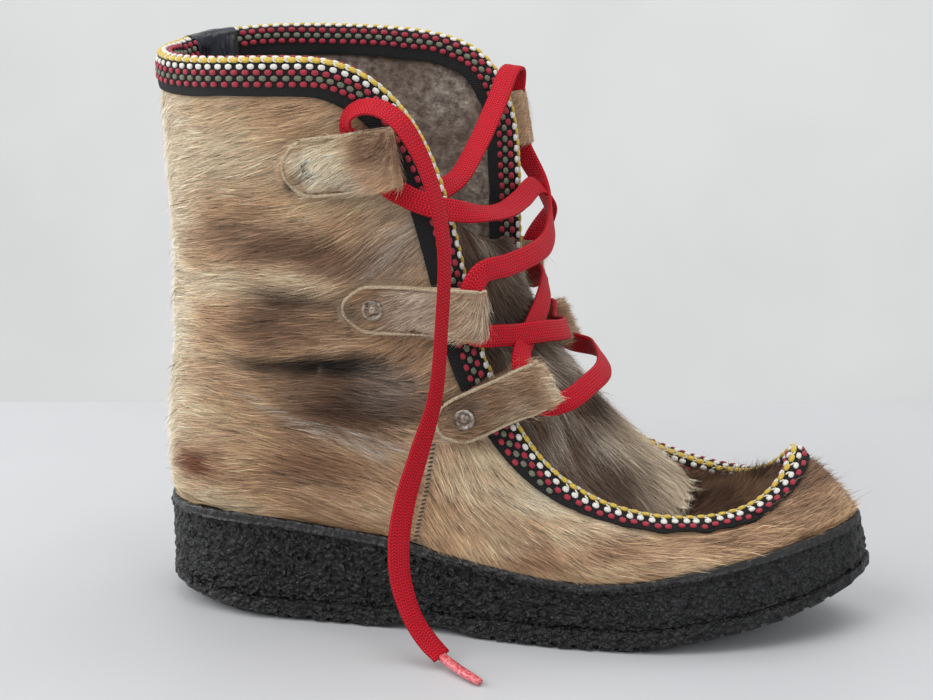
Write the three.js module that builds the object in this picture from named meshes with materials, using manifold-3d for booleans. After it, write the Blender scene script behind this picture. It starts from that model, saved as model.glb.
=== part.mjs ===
// Winter boot of short-haired hide with an upturned toe, the right one of a pair.
// Millimetres. +X runs from heel to toe, +Y towards the inner side of the foot, +Z up from the floor.
import * as THREE from "three";
import Module from "manifold-3d";

const wasm = await Module();
wasm.setup();

// Driving dimensions
const LENGTH = 280;
const BALL_WIDTH = 97;
const COLLAR_HEIGHT = 226;
const WALL = 3;
const GAP = 0.3;
const BRAID = 1.5;
const BRAID_CLEAR = 0.6;
const BRAID_LEG = 13;
const BRAID_LEG_TOE = 6.5;
const RAND = 1.5;
const RAND_HEIGHT = 3.2;
const TREAD_PITCH = 8;
const TREAD_GROOVE = 2.2;
const TREAD_DEPTH = 2.4;
const LACE_WIDTH = 8.5;
const LACE_THICK = 1.8;
const STRIP_THICK = 1.5;

// The sizes that the tables are drawn at, and what they are scaled by
const DRAWN = { length: 280, ball: 97, collar: 226 };
const SX = LENGTH / DRAWN.length;
const SY = BALL_WIDTH / DRAWN.ball;
const SZ = COLLAR_HEIGHT / DRAWN.collar;

const COLOURS = {
  hide: [0x9a7b5c, 0.85, 0],
  braid: [0x1c1718, 0.8, 0],
  tape: [0x15161d, 0.35, 0],
  rubber: [0x17171a, 0.9, 0],
  felt: [0x8d8478, 0.95, 0],
  lace: [0xd5122c, 0.75, 0],
  rivet: [0xa9a6a0, 0.4, 1],
  aglet: [0xe0707a, 0.3, 0],
};

function table(columns, rows) {
  return rows.map((row) => Object.fromEntries(columns.map((name, i) => [name, row[i]])));
}

// Sections from the heel to the toe tip. sole, lateral and medial are the outline where the upper meets
// the sole. The near and far columns are the upper's edge on the outer and the inner side of the foot.
const SECTIONS = table(
  ["sole", "lateral", "medial", "nearX", "nearY", "nearZ", "farX", "farY", "farZ"],
  [
    [0, 0, 0, 1.5, 0, 221.5, 1.5, 0, 221.5],
    [3, 13.5, 13.5, 4, 16.5, 221.5, 4, 16.5, 222.3],
    [12, 25, 25, 13, 31, 221.3, 13, 31, 223.8],
    [30, 32.5, 32.5, 31.5, 43, 222.2, 32.5, 43, 225.3],
    [49, 34.4, 34, 54, 47.5, 223.3, 58, 47.5, 225.4],
    [66, 35.2, 33.8, 75.5, 46.5, 222.6, 83.5, 46.5, 224.7],
    [80, 35.8, 33.3, 91, 43.5, 215.5, 105, 44, 222.2],
    [92, 36.7, 32.7, 104.5, 41.5, 201, 121.5, 41, 214.6],
    [103, 38, 32.5, 114.2, 39, 179.5, 131.8, 38.6, 195.5],
    [114, 39.7, 33.1, 121.8, 36.5, 149.5, 134.7, 36.8, 168],
    [126, 41.8, 35.2, 129, 35.8, 114.3, 135.2, 36.2, 138],
    [141, 44.6, 38.8, 142.2, 37.4, 87, 141.5, 36.5, 107.5],
    [160, 46.9, 43.5, 157, 38.6, 68.2, 156, 37.2, 82.6],
    [182, 48, 46.4, 177.3, 38.2, 55.4, 175.5, 36.8, 65.6],
    [203, 47.3, 44.3, 199, 34.8, 49.4, 197, 33, 56.4],
    [222, 43.8, 38.8, 218, 29, 48.2, 216, 27.8, 52.4],
    [240, 36.5, 30, 232.5, 22.5, 50.7, 231.3, 21.3, 52.2],
    [256, 26.5, 19.8, 242.3, 15, 56.2, 241.6, 14, 57.2],
    [269, 13.5, 9, 248.3, 7.6, 64, 248.2, 7.4, 64.4],
    [275, 0, 0, 250.8, 0, 69.8, 250.8, 0, 69.8],
  ],
);
const LAST_SECTION = SECTIONS.length - 1;

// The sole from the side: floor is its underside, split the line over the tread, feather its top edge
// and bevel how far the lower edge is rounded off.
const SOLE_SIDE = table(
  ["x", "floor", "split", "feather", "bevel"],
  [
    [0, 6, 13, 42, 3.2],
    [15, 4, 11.4, 43.2, 3.2],
    [32, 1.5, 9.8, 43.4, 3],
    [50, 0, 9, 42.3, 2.4],
    [77, 0, 9, 39.6, 1.4],
    [97, 0, 9, 37.2, 1.2],
    [113, 0, 9, 34.2, 1.2],
    [140, 0, 9, 29.8, 1.2],
    [158, 0, 9, 27.8, 1.2],
    [171, 0, 9, 27, 1.2],
    [186, 0, 9, 27.7, 1.2],
    [200, 1.1, 9.8, 30.2, 1.4],
    [214, 4, 12.3, 33.5, 1.6],
    [232, 7, 15, 37.4, 2],
    [246, 10, 18, 40.3, 2.5],
    [260, 13.5, 21.3, 43, 3],
    [282, 21, 29, 45.6, 3],
  ],
);

// How far the upper swells outwards from the straight line between sole and edge, at parts of its height
const SWELL = table(
  ["section", "low", "ankle", "calf", "high"],
  [
    [0, 1.5, -2.8, -4.6, -1.6],
    [4, 2.6, 3, 1.4, 0.8],
    [7, 2.4, 3.2, 2.4, 1.4],
    [10, 2.6, 4, 3.2, 1.6],
    [13, 2.8, 4.6, 4.8, 3.2],
    [16, 2.4, 4, 4, 2.6],
    [19, 0.6, 1.2, 1.4, 1],
  ],
);
const SWELL_HEIGHTS = { low: 0.15, ankle: 0.35, calf: 0.55, high: 0.75 };

// Crown of the tongue and of the toe plug, with the sections where each is tucked in on the two sides
const TONGUE = table(
  ["near", "far", "x", "z"],
  [
    [8.35, 9.8, 134.5, 151],
    [9, 10.2, 139, 140],
    [9.6, 10.6, 143.5, 129],
    [10.2, 11, 149.5, 117],
    [10.8, 11.4, 156.5, 107.5],
    [11.4, 11.8, 165, 96.5],
    [12, 12.2, 174, 85.5],
    [12.6, 12.7, 184, 76],
    [13.2, 13.2, 193.5, 66.5],
    [13.8, 13.8, 202, 59.5],
    [14.2, 14.2, 209.5, 53.5],
  ],
);
const TOE_PLUG = table(
  ["near", "far", "x", "z"],
  [
    [14.35, 14.35, 213, 49.5],
    [15, 15, 222, 51.5],
    [15.6, 15.6, 229, 53.5],
    [16.2, 16.2, 235, 56.5],
    [16.8, 16.8, 239.5, 60],
    [17.3, 17.3, 242.5, 63],
  ],
);

// Lace loops: a folded strip riveted at its rear end, given where that end and the fold lie
const LOOPS = table(
  ["name", "side", "rearX", "rearZ", "foldX", "foldZ", "width", "lift"],
  [
    ["loop_lateral_top", -1, 58, 183, 101, 191, 22, 1.2],
    ["loop_lateral_middle", -1, 79, 131.5, 133, 131.5, 18, 1.4],
    ["loop_lateral_low", -1, 115, 85, 157, 105, 18, 3.9],
    ["loop_medial_top", 1, 93, 184, 138, 192, 22, 1.4],
    ["loop_medial_middle", 1, 96, 134, 149, 131, 18, 1.6],
    ["loop_medial_low", 1, 117, 92, 162, 110, 18, 3.8],
  ],
);

// Smooth value of one column at x, for rows in rising order of the key. It never overshoots a row.
function curve(rows, key, column, x) {
  const last = rows.length - 1;
  let i = 0;
  while (i < last - 1 && rows[i + 1][key] < x) {
    i += 1;
  }
  const secant = (k) => {
    const [a, b] = [rows[Math.max(k, 0)], rows[Math.min(k + 1, last)]];
    return a === b ? 0 : (b[column] - a[column]) / (b[key] - a[key]);
  };
  const slope = (k) => {
    if (k === 0 || k === last) {
      return secant(Math.min(k, last - 1));
    }
    const [before, after] = [secant(k - 1), secant(k)];
    return before * after > 0 ? (2 * before * after) / (before + after) : 0;
  };
  const span = rows[i + 1][key] - rows[i][key];
  const t = Math.min(Math.max((x - rows[i][key]) / span, 0), 1);
  const s = 1 - t;
  const ends = rows[i][column] * (1 + 2 * t) * s * s + rows[i + 1][column] * t * t * (3 - 2 * t);
  return ends + span * (slope(i) * t * s * s - slope(i + 1) * t * t * s);
}

// Smooth value of one column of the sections. A column that changes sign over the centre line is odd.
function along(column, u, odd = false) {
  const at = (i) => {
    if (i < 0) {
      return (odd ? -1 : 1) * SECTIONS[-i][column];
    }
    if (i > LAST_SECTION) {
      return (odd ? -1 : 1) * SECTIONS[2 * LAST_SECTION - i][column];
    }
    return SECTIONS[i][column];
  };
  const i = Math.min(Math.max(Math.floor(u), 0), LAST_SECTION - 1);
  const t = u - i;
  const [a, b, c, d] = [at(i - 1), at(i), at(i + 1), at(i + 2)];
  const bend = (2 * a - 5 * b + 4 * c - d) * t * t + (3 * b - a - 3 * c + d) * t * t * t;
  return 0.5 * (2 * b + (c - a) * t + bend);
}

const vector = (x, y, z) => new THREE.Vector3(x, y, z);
const soleHeight = (column, x) => SZ * curve(SOLE_SIDE, "x", column, x / SX);

function soleLine(side, u) {
  const y = SY * side * along(side < 0 ? "lateral" : "medial", u, true);
  return vector(SX * along("sole", u), y, 0);
}

// Horizontal direction out of the sole's outline
function outward(side, u) {
  const step = 0.02;
  const d = soleLine(side, u + step).sub(soleLine(side, u - step));
  return vector(d.y, -d.x, 0).multiplyScalar(-side).normalize();
}

function upperEdge(side, u) {
  const name = side < 0 ? "near" : "far";
  const y = SY * side * along(`${name}Y`, u, true);
  return vector(SX * along(`${name}X`, u), y, SZ * along(`${name}Z`, u));
}

function swell(u, v) {
  const rows = [{ v: 0, out: 0 }];
  for (const [column, height] of Object.entries(SWELL_HEIGHTS)) {
    rows.push({ v: height, out: curve(SWELL, "section", column, Math.min(Math.max(u, 0), LAST_SECTION)) });
  }
  rows.push({ v: 1, out: 0 });
  return curve(rows, "v", "out", v);
}

// Outer face of the upper. side is -1 outside and +1 inside, u the section, v the height from 0 to 1.
function upperFace(side, u, v) {
  const foot = soleLine(side, u);
  foot.z = soleHeight("feather", foot.x) + GAP;
  return foot.lerp(upperEdge(side, u), v).addScaledVector(outward(side, u), swell(u, v));
}

function slopes(side, u, v) {
  const step = 0.01;
  const along = upperFace(side, u + step, v).sub(upperFace(side, u - step, v)).divideScalar(2 * step);
  const up = upperFace(side, u, v + step).sub(upperFace(side, u, v - step)).divideScalar(2 * step);
  return [along, up];
}

function upperNormal(side, u, v) {
  const [along, up] = slopes(side, u, v);
  return along.cross(up).multiplyScalar(-side).normalize();
}

// Moves over the upper's face in small steps and returns the place it comes to
function walk(side, place, heading, distance) {
  const steps = 6;
  const here = { ...place };
  for (let i = 0; i < steps; i += 1) {
    const [a, b] = slopes(side, here.u, here.v);
    const aim = heading.clone().projectOnPlane(a.clone().cross(b).normalize()).setLength(distance / steps);
    const [aa, ab, bb] = [a.dot(a), a.dot(b), b.dot(b)];
    const [ra, rb] = [a.dot(aim), b.dot(aim)];
    const scale = 1 / (aa * bb - ab * ab);
    here.u += (bb * ra - ab * rb) * scale;
    here.v += (aa * rb - ab * ra) * scale;
  }
  return here;
}

// Frame at the upper's edge: the edge point, the way out of the wall's rim and the outward normal
function edgeFrame(side, u) {
  const step = 0.02;
  const tangent = upperEdge(side, u + step).sub(upperEdge(side, u - step)).normalize();
  const normal = upperNormal(side, u, 1);
  const out = tangent.clone().cross(normal).multiplyScalar(side).normalize();
  return { point: upperFace(side, u, 1), out, normal };
}

// Where the upper's face lies at the given x and z on one side
function placeOn(side, x, z) {
  let best = { u: 0, v: 0, off: Infinity };
  for (let u = 0; u <= LAST_SECTION; u += 0.5) {
    for (let v = 0; v <= 1; v += 0.1) {
      const p = upperFace(side, u, v);
      const off = Math.hypot(p.x - x, p.z - z);
      if (off < best.off) {
        best = { u, v, off };
      }
    }
  }
  for (let i = 0; i < 8; i += 1) {
    const [a, b] = slopes(side, best.u, best.v);
    const p = upperFace(side, best.u, best.v);
    const [dx, dz] = [x - p.x, z - p.z];
    const scale = 1 / (a.x * b.z - a.z * b.x);
    best.u += (b.z * dx - b.x * dz) * scale;
    best.v += (a.x * dz - a.z * dx) * scale;
  }
  return best;
}

// Closed solid through loops of points. Closed all round, or capped by joining point i to its partner.
function loft(loops, around = false) {
  const n = loops[0].length;
  const faces = [];
  const spans = around ? loops.length : loops.length - 1;
  for (let k = 0; k < spans; k += 1) {
    const [a, b] = [k * n, ((k + 1) % loops.length) * n];
    for (let i = 0; i < n; i += 1) {
      const j = (i + 1) % n;
      faces.push([a + i, a + j, b + j], [a + i, b + j, b + i]);
    }
  }
  if (!around) {
    const end = (loops.length - 1) * n;
    for (let i = 0; i < n / 2 - 1; i += 1) {
      const [p, q, r, s] = [i, i + 1, n - 2 - i, n - 1 - i];
      faces.push([q, p, s], [q, s, r]);
      faces.push([end + p, end + q, end + s], [end + q, end + r, end + s]);
    }
  }
  return solid(loops.flat(), faces);
}

// Stack of outlines that run up the outer side of the foot and back down the inner side
function stack(rings) {
  const n = rings[0].length;
  const faces = [];
  for (let k = 0; k < rings.length - 1; k += 1) {
    for (let i = 0; i < n; i += 1) {
      const j = (i + 1) % n;
      faces.push([k * n + i, k * n + j, k * n + n + j], [k * n + i, k * n + n + j, k * n + n + i]);
    }
  }
  const top = (rings.length - 1) * n;
  for (let i = 0; i < n / 2; i += 1) {
    const [p, q, r, s] = [i, i + 1, n - i - 1, (n - i) % n];
    if (q !== r) {
      faces.push([q, p, r], [top + p, top + q, top + r]);
    }
    if (p !== s) {
      faces.push([p, s, r], [top + s, top + p, top + r]);
    }
  }
  return solid(rings.flat(), faces);
}

// Geometry of a closed solid, turned so that its faces look outwards
function solid(points, faces) {
  const volume = faces.reduce((sum, [a, b, c]) => {
    return sum + points[a].dot(points[b].clone().cross(points[c]));
  }, 0);
  const index = volume < 0 ? faces.map(([a, b, c]) => [a, c, b]) : faces;
  const geometry = new THREE.BufferGeometry();
  geometry.setAttribute("position", new THREE.Float32BufferAttribute(points.flatMap((p) => p.toArray()), 3));
  geometry.setIndex(index.flat());
  return geometry;
}

function toManifold(geometry) {
  const vertProperties = new Float32Array(geometry.attributes.position.array);
  const triVerts = new Uint32Array(geometry.index.array);
  return new wasm.Manifold(new wasm.Mesh({ numProp: 3, vertProperties, triVerts }));
}

function fromManifold(body) {
  const mesh = body.getMesh();
  const geometry = new THREE.BufferGeometry();
  geometry.setAttribute("position", new THREE.Float32BufferAttribute(mesh.vertProperties, 3));
  geometry.setIndex(Array.from(mesh.triVerts));
  return geometry;
}

// Box with merged corners, centred on the origin
function box(x, y, z) {
  const corner = (sx, sy) => [vector((sx * x) / 2, (sy * y) / 2, -z / 2), vector((sx * x) / 2, (sy * y) / 2, z / 2)];
  const [a, b, c, d] = [corner(-1, -1), corner(1, -1), corner(1, 1), corner(-1, 1)];
  return loft([0, 1].map((i) => [a[i], b[i], c[i], d[i]]));
}

// Section numbers round the whole boot: up the outer side and back along the inner side
function roundTheFoot(perSection) {
  const count = LAST_SECTION * perSection;
  const places = [];
  for (let i = 0; i < 2 * count; i += 1) {
    const inner = i > count;
    places.push({ side: inner ? 1 : -1, u: (inner ? 2 * count - i : i) / perSection });
  }
  return places;
}

// Upper: one hollow wall, open at the collar, down the throat to the toe, and underneath
function upper() {
  const heights = [0, 0.1, 0.22, 0.36, 0.52, 0.68, 0.84, 1];
  const columns = roundTheFoot(2).map(({ side, u }) => {
    const outer = heights.map((v) => upperFace(side, u, v));
    const inner = heights.map((v, i) => outer[i].clone().addScaledVector(upperNormal(side, u, v), -WALL));
    inner[0].copy(outer[0]).addScaledVector(outward(side, u), -WALL);
    inner[0].z = soleHeight("feather", inner[0].x) + GAP;
    return [...outer, ...inner.reverse()];
  });
  return loft(columns, true);
}

// Folded band astride the edge. clear is the room to the wall and thick the band's own thickness.
function bandSection(side, u, clear, thick, leg) {
  const { point, out, normal } = edgeFrame(side, u);
  const back = out.clone().negate();
  const spots = [leg, leg / 2].map((distance) => {
    const place = walk(side, { u, v: 1 }, back, distance);
    return { p: upperFace(side, place.u, place.v), n: upperNormal(side, place.u, place.v) };
  });
  spots.push({ p: point, n: normal });
  const middle = point.clone().addScaledVector(normal, -WALL / 2);
  const off = (spot, distance, up = 0) => {
    return spot.p.clone().addScaledVector(spot.n, distance).addScaledVector(out, up);
  };
  const faceOut = clear + thick;
  const rise = 0.2 + 0.6 * clear;
  const outerPath = [
    off(spots[0], faceOut),
    off(spots[1], faceOut),
    off(spots[2], faceOut, 0.6 * faceOut),
    middle.clone().addScaledVector(out, faceOut),
    off(spots[2], -WALL - faceOut, 0.6 * faceOut),
    off(spots[1], -WALL - faceOut),
    off(spots[0], -WALL - faceOut),
  ];
  const innerPath = [
    off(spots[0], clear),
    off(spots[1], clear),
    off(spots[2], clear, rise),
    middle.clone().addScaledVector(out, clear),
    off(spots[2], -WALL - clear, rise),
    off(spots[1], -WALL - clear),
    off(spots[0], -WALL - clear),
  ];
  return [...outerPath, ...innerPath.reverse()];
}

function braidLeg(u) {
  return THREE.MathUtils.lerp(BRAID_LEG, BRAID_LEG_TOE, THREE.MathUtils.smoothstep(u, 10.5, 14));
}

function braid() {
  return loft(roundTheFoot(2).map(({ side, u }) => bandSection(side, u, BRAID_CLEAR, BRAID, braidLeg(u))), true);
}

// Sleeve of tape over the braid at the back of the collar
function collarTape() {
  const [from, to, clear, thick, leg] = [1.05, 2.35, BRAID_CLEAR + BRAID + 0.5, 0.7, BRAID_LEG + 0.5];
  const steps = 5;
  const sections = [];
  for (let i = 0; i <= steps; i += 1) {
    sections.push(bandSection(1, from + ((to - from) * i) / steps, clear, thick, leg));
  }
  return loft(sections);
}

function tuckPoint(side, u, room) {
  const { out } = edgeFrame(side, u);
  const place = walk(side, { u, v: 1 }, out.clone().negate(), 3);
  const inside = WALL + BRAID_CLEAR + BRAID + room;
  const normal = upperNormal(side, place.u, place.v);
  return { point: upperFace(side, place.u, place.v).addScaledVector(normal, -inside), out };
}

// Arch from the tuck on the outer side over the crown to the tuck on the inner side
function apronArch(row, room) {
  const crown = vector(SX * row.x, 0, SZ * row.z);
  const halves = [[-1, row.near], [1, row.far]].map(([side, u]) => {
    const { point, out } = tuckPoint(side, u, room);
    const rise = point.clone().addScaledVector(out, 6);
    const shoulder = vector(crown.x + (point.x - crown.x) * 0.4, point.y * 0.55, crown.z);
    return new THREE.CubicBezierCurve3(point, rise, shoulder, crown);
  });
  const steps = 7;
  const across = halves[0].getPoints(steps);
  return [...across, ...halves[1].getPoints(steps).reverse().slice(1)];
}

// Sheet under the arches of a crown table. room is what its sides keep to the braid inside the edge.
function apron(rows, room) {
  const grid = rows.map((row) => apronArch(row, room));
  const sections = grid.map((points, k) => {
    const under = points.map((p, i) => {
      const before = grid[Math.max(k - 1, 0)][i];
      const after = grid[Math.min(k + 1, grid.length - 1)][i];
      const left = points[Math.max(i - 1, 0)];
      const right = points[Math.min(i + 1, points.length - 1)];
      const normal = after.clone().sub(before).cross(right.clone().sub(left)).normalize();
      return p.clone().addScaledVector(normal, -WALL * 0.8);
    });
    return [...points, ...under.reverse()];
  });
  return loft(sections);
}

// Outline of the sole moved outwards, at a height that depends on x
function soleRing(offset, height) {
  return roundTheFoot(2).map(({ side, u }) => {
    const p = soleLine(side, u);
    const reach = typeof offset === "function" ? offset(p.x, u) : offset;
    p.addScaledVector(outward(side, u), reach);
    p.z = height(p.x);
    return p;
  });
}

// The toe of the sole widens towards the floor
function toeFlare(u, part) {
  return RAND + 4.3 * part * THREE.MathUtils.smoothstep(u, 15, 19);
}

function outsole() {
  const rings = [
    soleRing((x, u) => toeFlare(u, 1) - soleHeight("bevel", x), (x) => soleHeight("floor", x)),
    soleRing((x, u) => toeFlare(u, 1) + 0.6, (x) => soleHeight("floor", x) + soleHeight("bevel", x)),
    soleRing((x, u) => toeFlare(u, 1) + 0.6, (x) => soleHeight("split", x) - 0.8),
    soleRing((x, u) => toeFlare(u, 1) - 0.4, (x) => soleHeight("split", x)),
  ];
  let body = toManifold(stack(rings));
  const cutAcross = (x, depth, width) => {
    const slope = (soleHeight("floor", x + 2) - soleHeight("floor", x - 2)) / 4;
    const tool = box(width, 2 * BALL_WIDTH, 2 * depth);
    tool.rotateY(-Math.atan(slope));
    tool.translate(x, 0, soleHeight("floor", x));
    body = body.subtract(toManifold(tool));
  };
  const treads = [{ from: 14, to: 84 }, { from: 137, to: 271 }];
  for (const { from, to } of treads) {
    for (let x = from * SX; x < to * SX; x += TREAD_PITCH) {
      cutAcross(x, TREAD_DEPTH, TREAD_GROOVE);
    }
  }
  return fromManifold(body.subtract(toManifold(archNotch())));
}

// Shallow hollow across the sole, between the heel and the ball
function archNotch() {
  const [from, to, rise] = [91 * SX, 130 * SX, 4 * SZ];
  const steps = 8;
  const side = (y) => {
    const points = [];
    for (let i = 0; i <= steps; i += 1) {
      const t = i / steps;
      points.push(vector(from + (to - from) * t, y, rise * Math.sin(Math.PI * t) ** 0.7));
    }
    const below = points.map((p) => vector(p.x, p.y, -1)).reverse();
    return [...points, ...below];
  };
  return loft([side(-BALL_WIDTH), side(BALL_WIDTH)]);
}

function midsole() {
  const split = (x) => soleHeight("split", x);
  const feather = (x) => soleHeight("feather", x);
  return stack([
    soleRing((x, u) => toeFlare(u, 1) - 0.4, (x) => split(x) + GAP),
    soleRing((x, u) => toeFlare(u, 1), (x) => split(x) + GAP + 0.8),
    soleRing((x, u) => toeFlare(u, 0.7), (x) => THREE.MathUtils.lerp(split(x), feather(x), 0.5)),
    soleRing((x, u) => toeFlare(u, 0.25), (x) => feather(x) - RAND_HEIGHT - 0.5),
    soleRing((x, u) => toeFlare(u, 0.2) + 0.9, (x) => feather(x) - RAND_HEIGHT),
    soleRing((x, u) => toeFlare(u, 0.1) + 0.5, feather),
  ]);
}

function insole() {
  const thick = 2.5;
  const reach = (x, u) => -WALL - 1.2 - 12 * THREE.MathUtils.smoothstep(u, 13.5, 19);
  return stack([
    soleRing(reach, (x) => soleHeight("feather", x) + GAP),
    soleRing(reach, (x) => soleHeight("feather", x) + GAP + thick),
  ]);
}

// Line on which a lace loop lies, lifted over the braid towards its fold
function loopSpine({ side, rearX, rearZ, foldX, foldZ, lift }) {
  const lifts = [0.9, lift, 4.1];
  const points = [0, 0.3, 0.6].map((part, i) => {
    const x = THREE.MathUtils.lerp(rearX, foldX, part);
    const z = THREE.MathUtils.lerp(rearZ, foldZ, part);
    const place = placeOn(side, SX * x, SZ * z);
    const normal = upperNormal(side, place.u, place.v);
    return upperFace(side, place.u, place.v).addScaledVector(normal, lifts[i]);
  });
  const forward = points[2].clone().sub(points[1]).multiplyScalar(0.4 / 0.3);
  forward.y *= 0.35;
  points.push(points[2].clone().add(forward));
  return new THREE.CatmullRomCurve3(points);
}

function loopFrame(loop, part) {
  const spine = loopSpine(loop);
  const forward = spine.getTangentAt(part);
  const flank = vector(0, loop.side, 0);
  const across = forward.clone().cross(flank).multiplyScalar(-loop.side).normalize();
  const out = across.clone().cross(forward).multiplyScalar(-loop.side).normalize();
  return { point: spine.getPointAt(part), forward, across, out, length: spine.getLength() };
}

const FOLD_LENGTH = 15;
const FOLD_HEIGHT = 3 * STRIP_THICK + LACE_THICK;

// Side view of a loop: distance along the strip and height over it, with the tunnel for the lace
function loopProfile(length) {
  const [rear, front] = [0, length];
  const outline = new THREE.Shape();
  outline.moveTo(rear, 0);
  outline.lineTo(front - FOLD_HEIGHT / 2, 0);
  outline.absarc(front - FOLD_HEIGHT / 2, FOLD_HEIGHT / 2, FOLD_HEIGHT / 2, -Math.PI / 2, Math.PI / 2, false);
  outline.lineTo(front - FOLD_LENGTH + 1, FOLD_HEIGHT);
  outline.lineTo(front - FOLD_LENGTH - 7, 2 * STRIP_THICK);
  outline.lineTo(rear, 2 * STRIP_THICK);
  const tunnel = new THREE.Path();
  const inset = STRIP_THICK;
  tunnel.moveTo(front - FOLD_LENGTH, inset + 0.6);
  tunnel.lineTo(front - FOLD_LENGTH + 2, FOLD_HEIGHT - inset);
  tunnel.lineTo(front - inset - 1.2, FOLD_HEIGHT - inset);
  tunnel.lineTo(front - inset - 0.3, FOLD_HEIGHT / 2);
  tunnel.lineTo(front - inset - 1.2, inset);
  outline.holes.push(tunnel);
  return outline;
}

// Half the strip's width, rounded at the rear
function loopHalfWidth(loop, along) {
  const rounding = 9;
  const t = Math.min(along / rounding, 1);
  const round = 0.35 + 0.65 * Math.sqrt(t * (2 - t));
  return (loop.width / 2) * round;
}

// Lace loop: the folded strip's profile, drawn across its width and laid over the upper
function laceLoop(loop) {
  const { length } = loopFrame(loop, 0);
  const profile = loopProfile(length);
  const { shape, holes } = profile.extractPoints(4);
  const split = [];
  for (let i = 0; i < shape.length; i += 1) {
    const [a, b] = [shape[i], shape[(i + 1) % shape.length]];
    const pieces = Math.max(1, Math.round(a.distanceTo(b) / 9));
    for (let k = 0; k < pieces; k += 1) {
      split.push(a.clone().lerp(b, k / pieces));
    }
  }
  const flat = new THREE.Shape(split);
  flat.holes.push(new THREE.Path(holes[0]));
  const strip = new THREE.ExtrudeGeometry(flat, { depth: 2, steps: 1, bevelEnabled: false });
  const merged = mergeByPosition(strip);
  const position = merged.attributes.position;
  for (let i = 0; i < position.count; i += 1) {
    const [along, height, across] = [position.getX(i), position.getY(i), position.getZ(i) - 1];
    const frame = loopFrame(loop, Math.min(Math.max(along / length, 0), 1));
    const p = frame.point.addScaledVector(frame.out, height);
    p.addScaledVector(frame.across, across * loopHalfWidth(loop, along));
    position.setXYZ(i, p.x, p.y, p.z);
  }
  return facingOut(merged);
}

// The same geometry with one vertex for each place
function mergeByPosition(geometry) {
  const seen = new Map();
  const points = [];
  const source = geometry.attributes.position;
  const index = geometry.index ? Array.from(geometry.index.array) : [...Array(source.count).keys()];
  const mapped = index.map((i) => {
    const p = vector(source.getX(i), source.getY(i), source.getZ(i));
    const key = p.toArray().map((value) => Math.round(value * 1e4)).join();
    if (!seen.has(key)) {
      seen.set(key, points.length);
      points.push(p);
    }
    return seen.get(key);
  });
  const faces = [];
  for (let i = 0; i < mapped.length; i += 3) {
    const face = mapped.slice(i, i + 3);
    if (new Set(face).size === 3) {
      faces.push(face);
    }
  }
  return solid(points, faces);
}

function facingOut(geometry) {
  const position = geometry.attributes.position;
  const points = [];
  for (let i = 0; i < position.count; i += 1) {
    points.push(vector(position.getX(i), position.getY(i), position.getZ(i)));
  }
  const faces = [];
  for (let i = 0; i < geometry.index.count; i += 3) {
    faces.push([0, 1, 2].map((k) => geometry.index.getX(i + k)));
  }
  return solid(points, faces);
}

// Domed rivet head on the rear end of a loop
function rivet(loop) {
  const radius = 3.2;
  const rise = 1.4;
  const profile = [
    new THREE.Vector2(0, 0),
    new THREE.Vector2(radius, 0),
    new THREE.Vector2(radius, 0.5),
    new THREE.Vector2(radius * 0.7, rise * 0.85),
    new THREE.Vector2(0, rise),
  ];
  const head = mergeByPosition(new THREE.LatheGeometry(profile, 12));
  const frame = loopFrame(loop, 12 / loopFrame(loop, 0).length);
  const place = frame.point.clone().addScaledVector(frame.out, 2 * STRIP_THICK + GAP);
  const turn = new THREE.Quaternion().setFromUnitVectors(vector(0, 1, 0), frame.out);
  head.applyQuaternion(turn);
  head.translate(place.x, place.y, place.z);
  return head;
}

// Middle of a loop's tunnel, moved along it past its mouth: end is -1 below and +1 above
function loopMouth(name, end, room = 5.2) {
  const loop = LOOPS.find((row) => row.name === name);
  const { length } = loopFrame(loop, 0);
  const frame = loopFrame(loop, (length - 7) / length);
  const up = Math.sign(frame.across.z) * end;
  const p = frame.point.clone().addScaledVector(frame.out, FOLD_HEIGHT / 2 + 0.2);
  return { p: p.addScaledVector(frame.across, up * (loop.width / 2 + room)), face: frame.out };
}

// Flat lace through rows of x, y, z and the way its face looks
function flatLace(stops, { steps, width = LACE_WIDTH, thick = LACE_THICK }) {
  const path = new THREE.CatmullRomCurve3(stops.map((stop) => stop.p), false, "centripetal");
  const faces = new THREE.CatmullRomCurve3(stops.map((stop) => stop.face), false, "catmullrom", 0.5);
  const sections = [];
  for (let i = 0; i <= steps; i += 1) {
    const t = i / steps;
    const tangent = path.getTangent(t);
    const across = faces.getPoint(t).cross(tangent).normalize();
    const face = tangent.clone().cross(across).normalize();
    const corners = [[0.5, 0.22], [0.36, 0.5], [-0.36, 0.5], [-0.5, 0.22], [-0.5, -0.22], [-0.36, -0.5], [0.36, -0.5], [0.5, -0.22]];
    sections.push(corners.map(([a, b]) => {
      return path.getPoint(t).addScaledVector(across, a * width).addScaledVector(face, b * thick);
    }));
  }
  return loft(sections);
}

// One stop of a lace's route
const stop = (x, y, z, fx, fy, fz) => ({ p: vector(SX * x, SY * y, SZ * z), face: vector(fx, fy, fz).normalize() });

// Bars of the lacing between the loops, from the lowest up
function lowBar() {
  return flatLace([
    loopMouth("loop_lateral_low", -1, 8.8),
    stop(163, -36, 96, 0.5, -0.8, 0.3),
    stop(171, -19, 98.5, 0.7, -0.4, 0.6),
    stop(174.5, 0, 99, 0.75, 0, 0.65),
    stop(172, 19, 99.5, 0.7, 0.4, 0.6),
    stop(167, 35, 98.5, 0.5, 0.8, 0.3),
    loopMouth("loop_medial_low", -1, 6.5),
  ], { steps: 14 });
}

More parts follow.
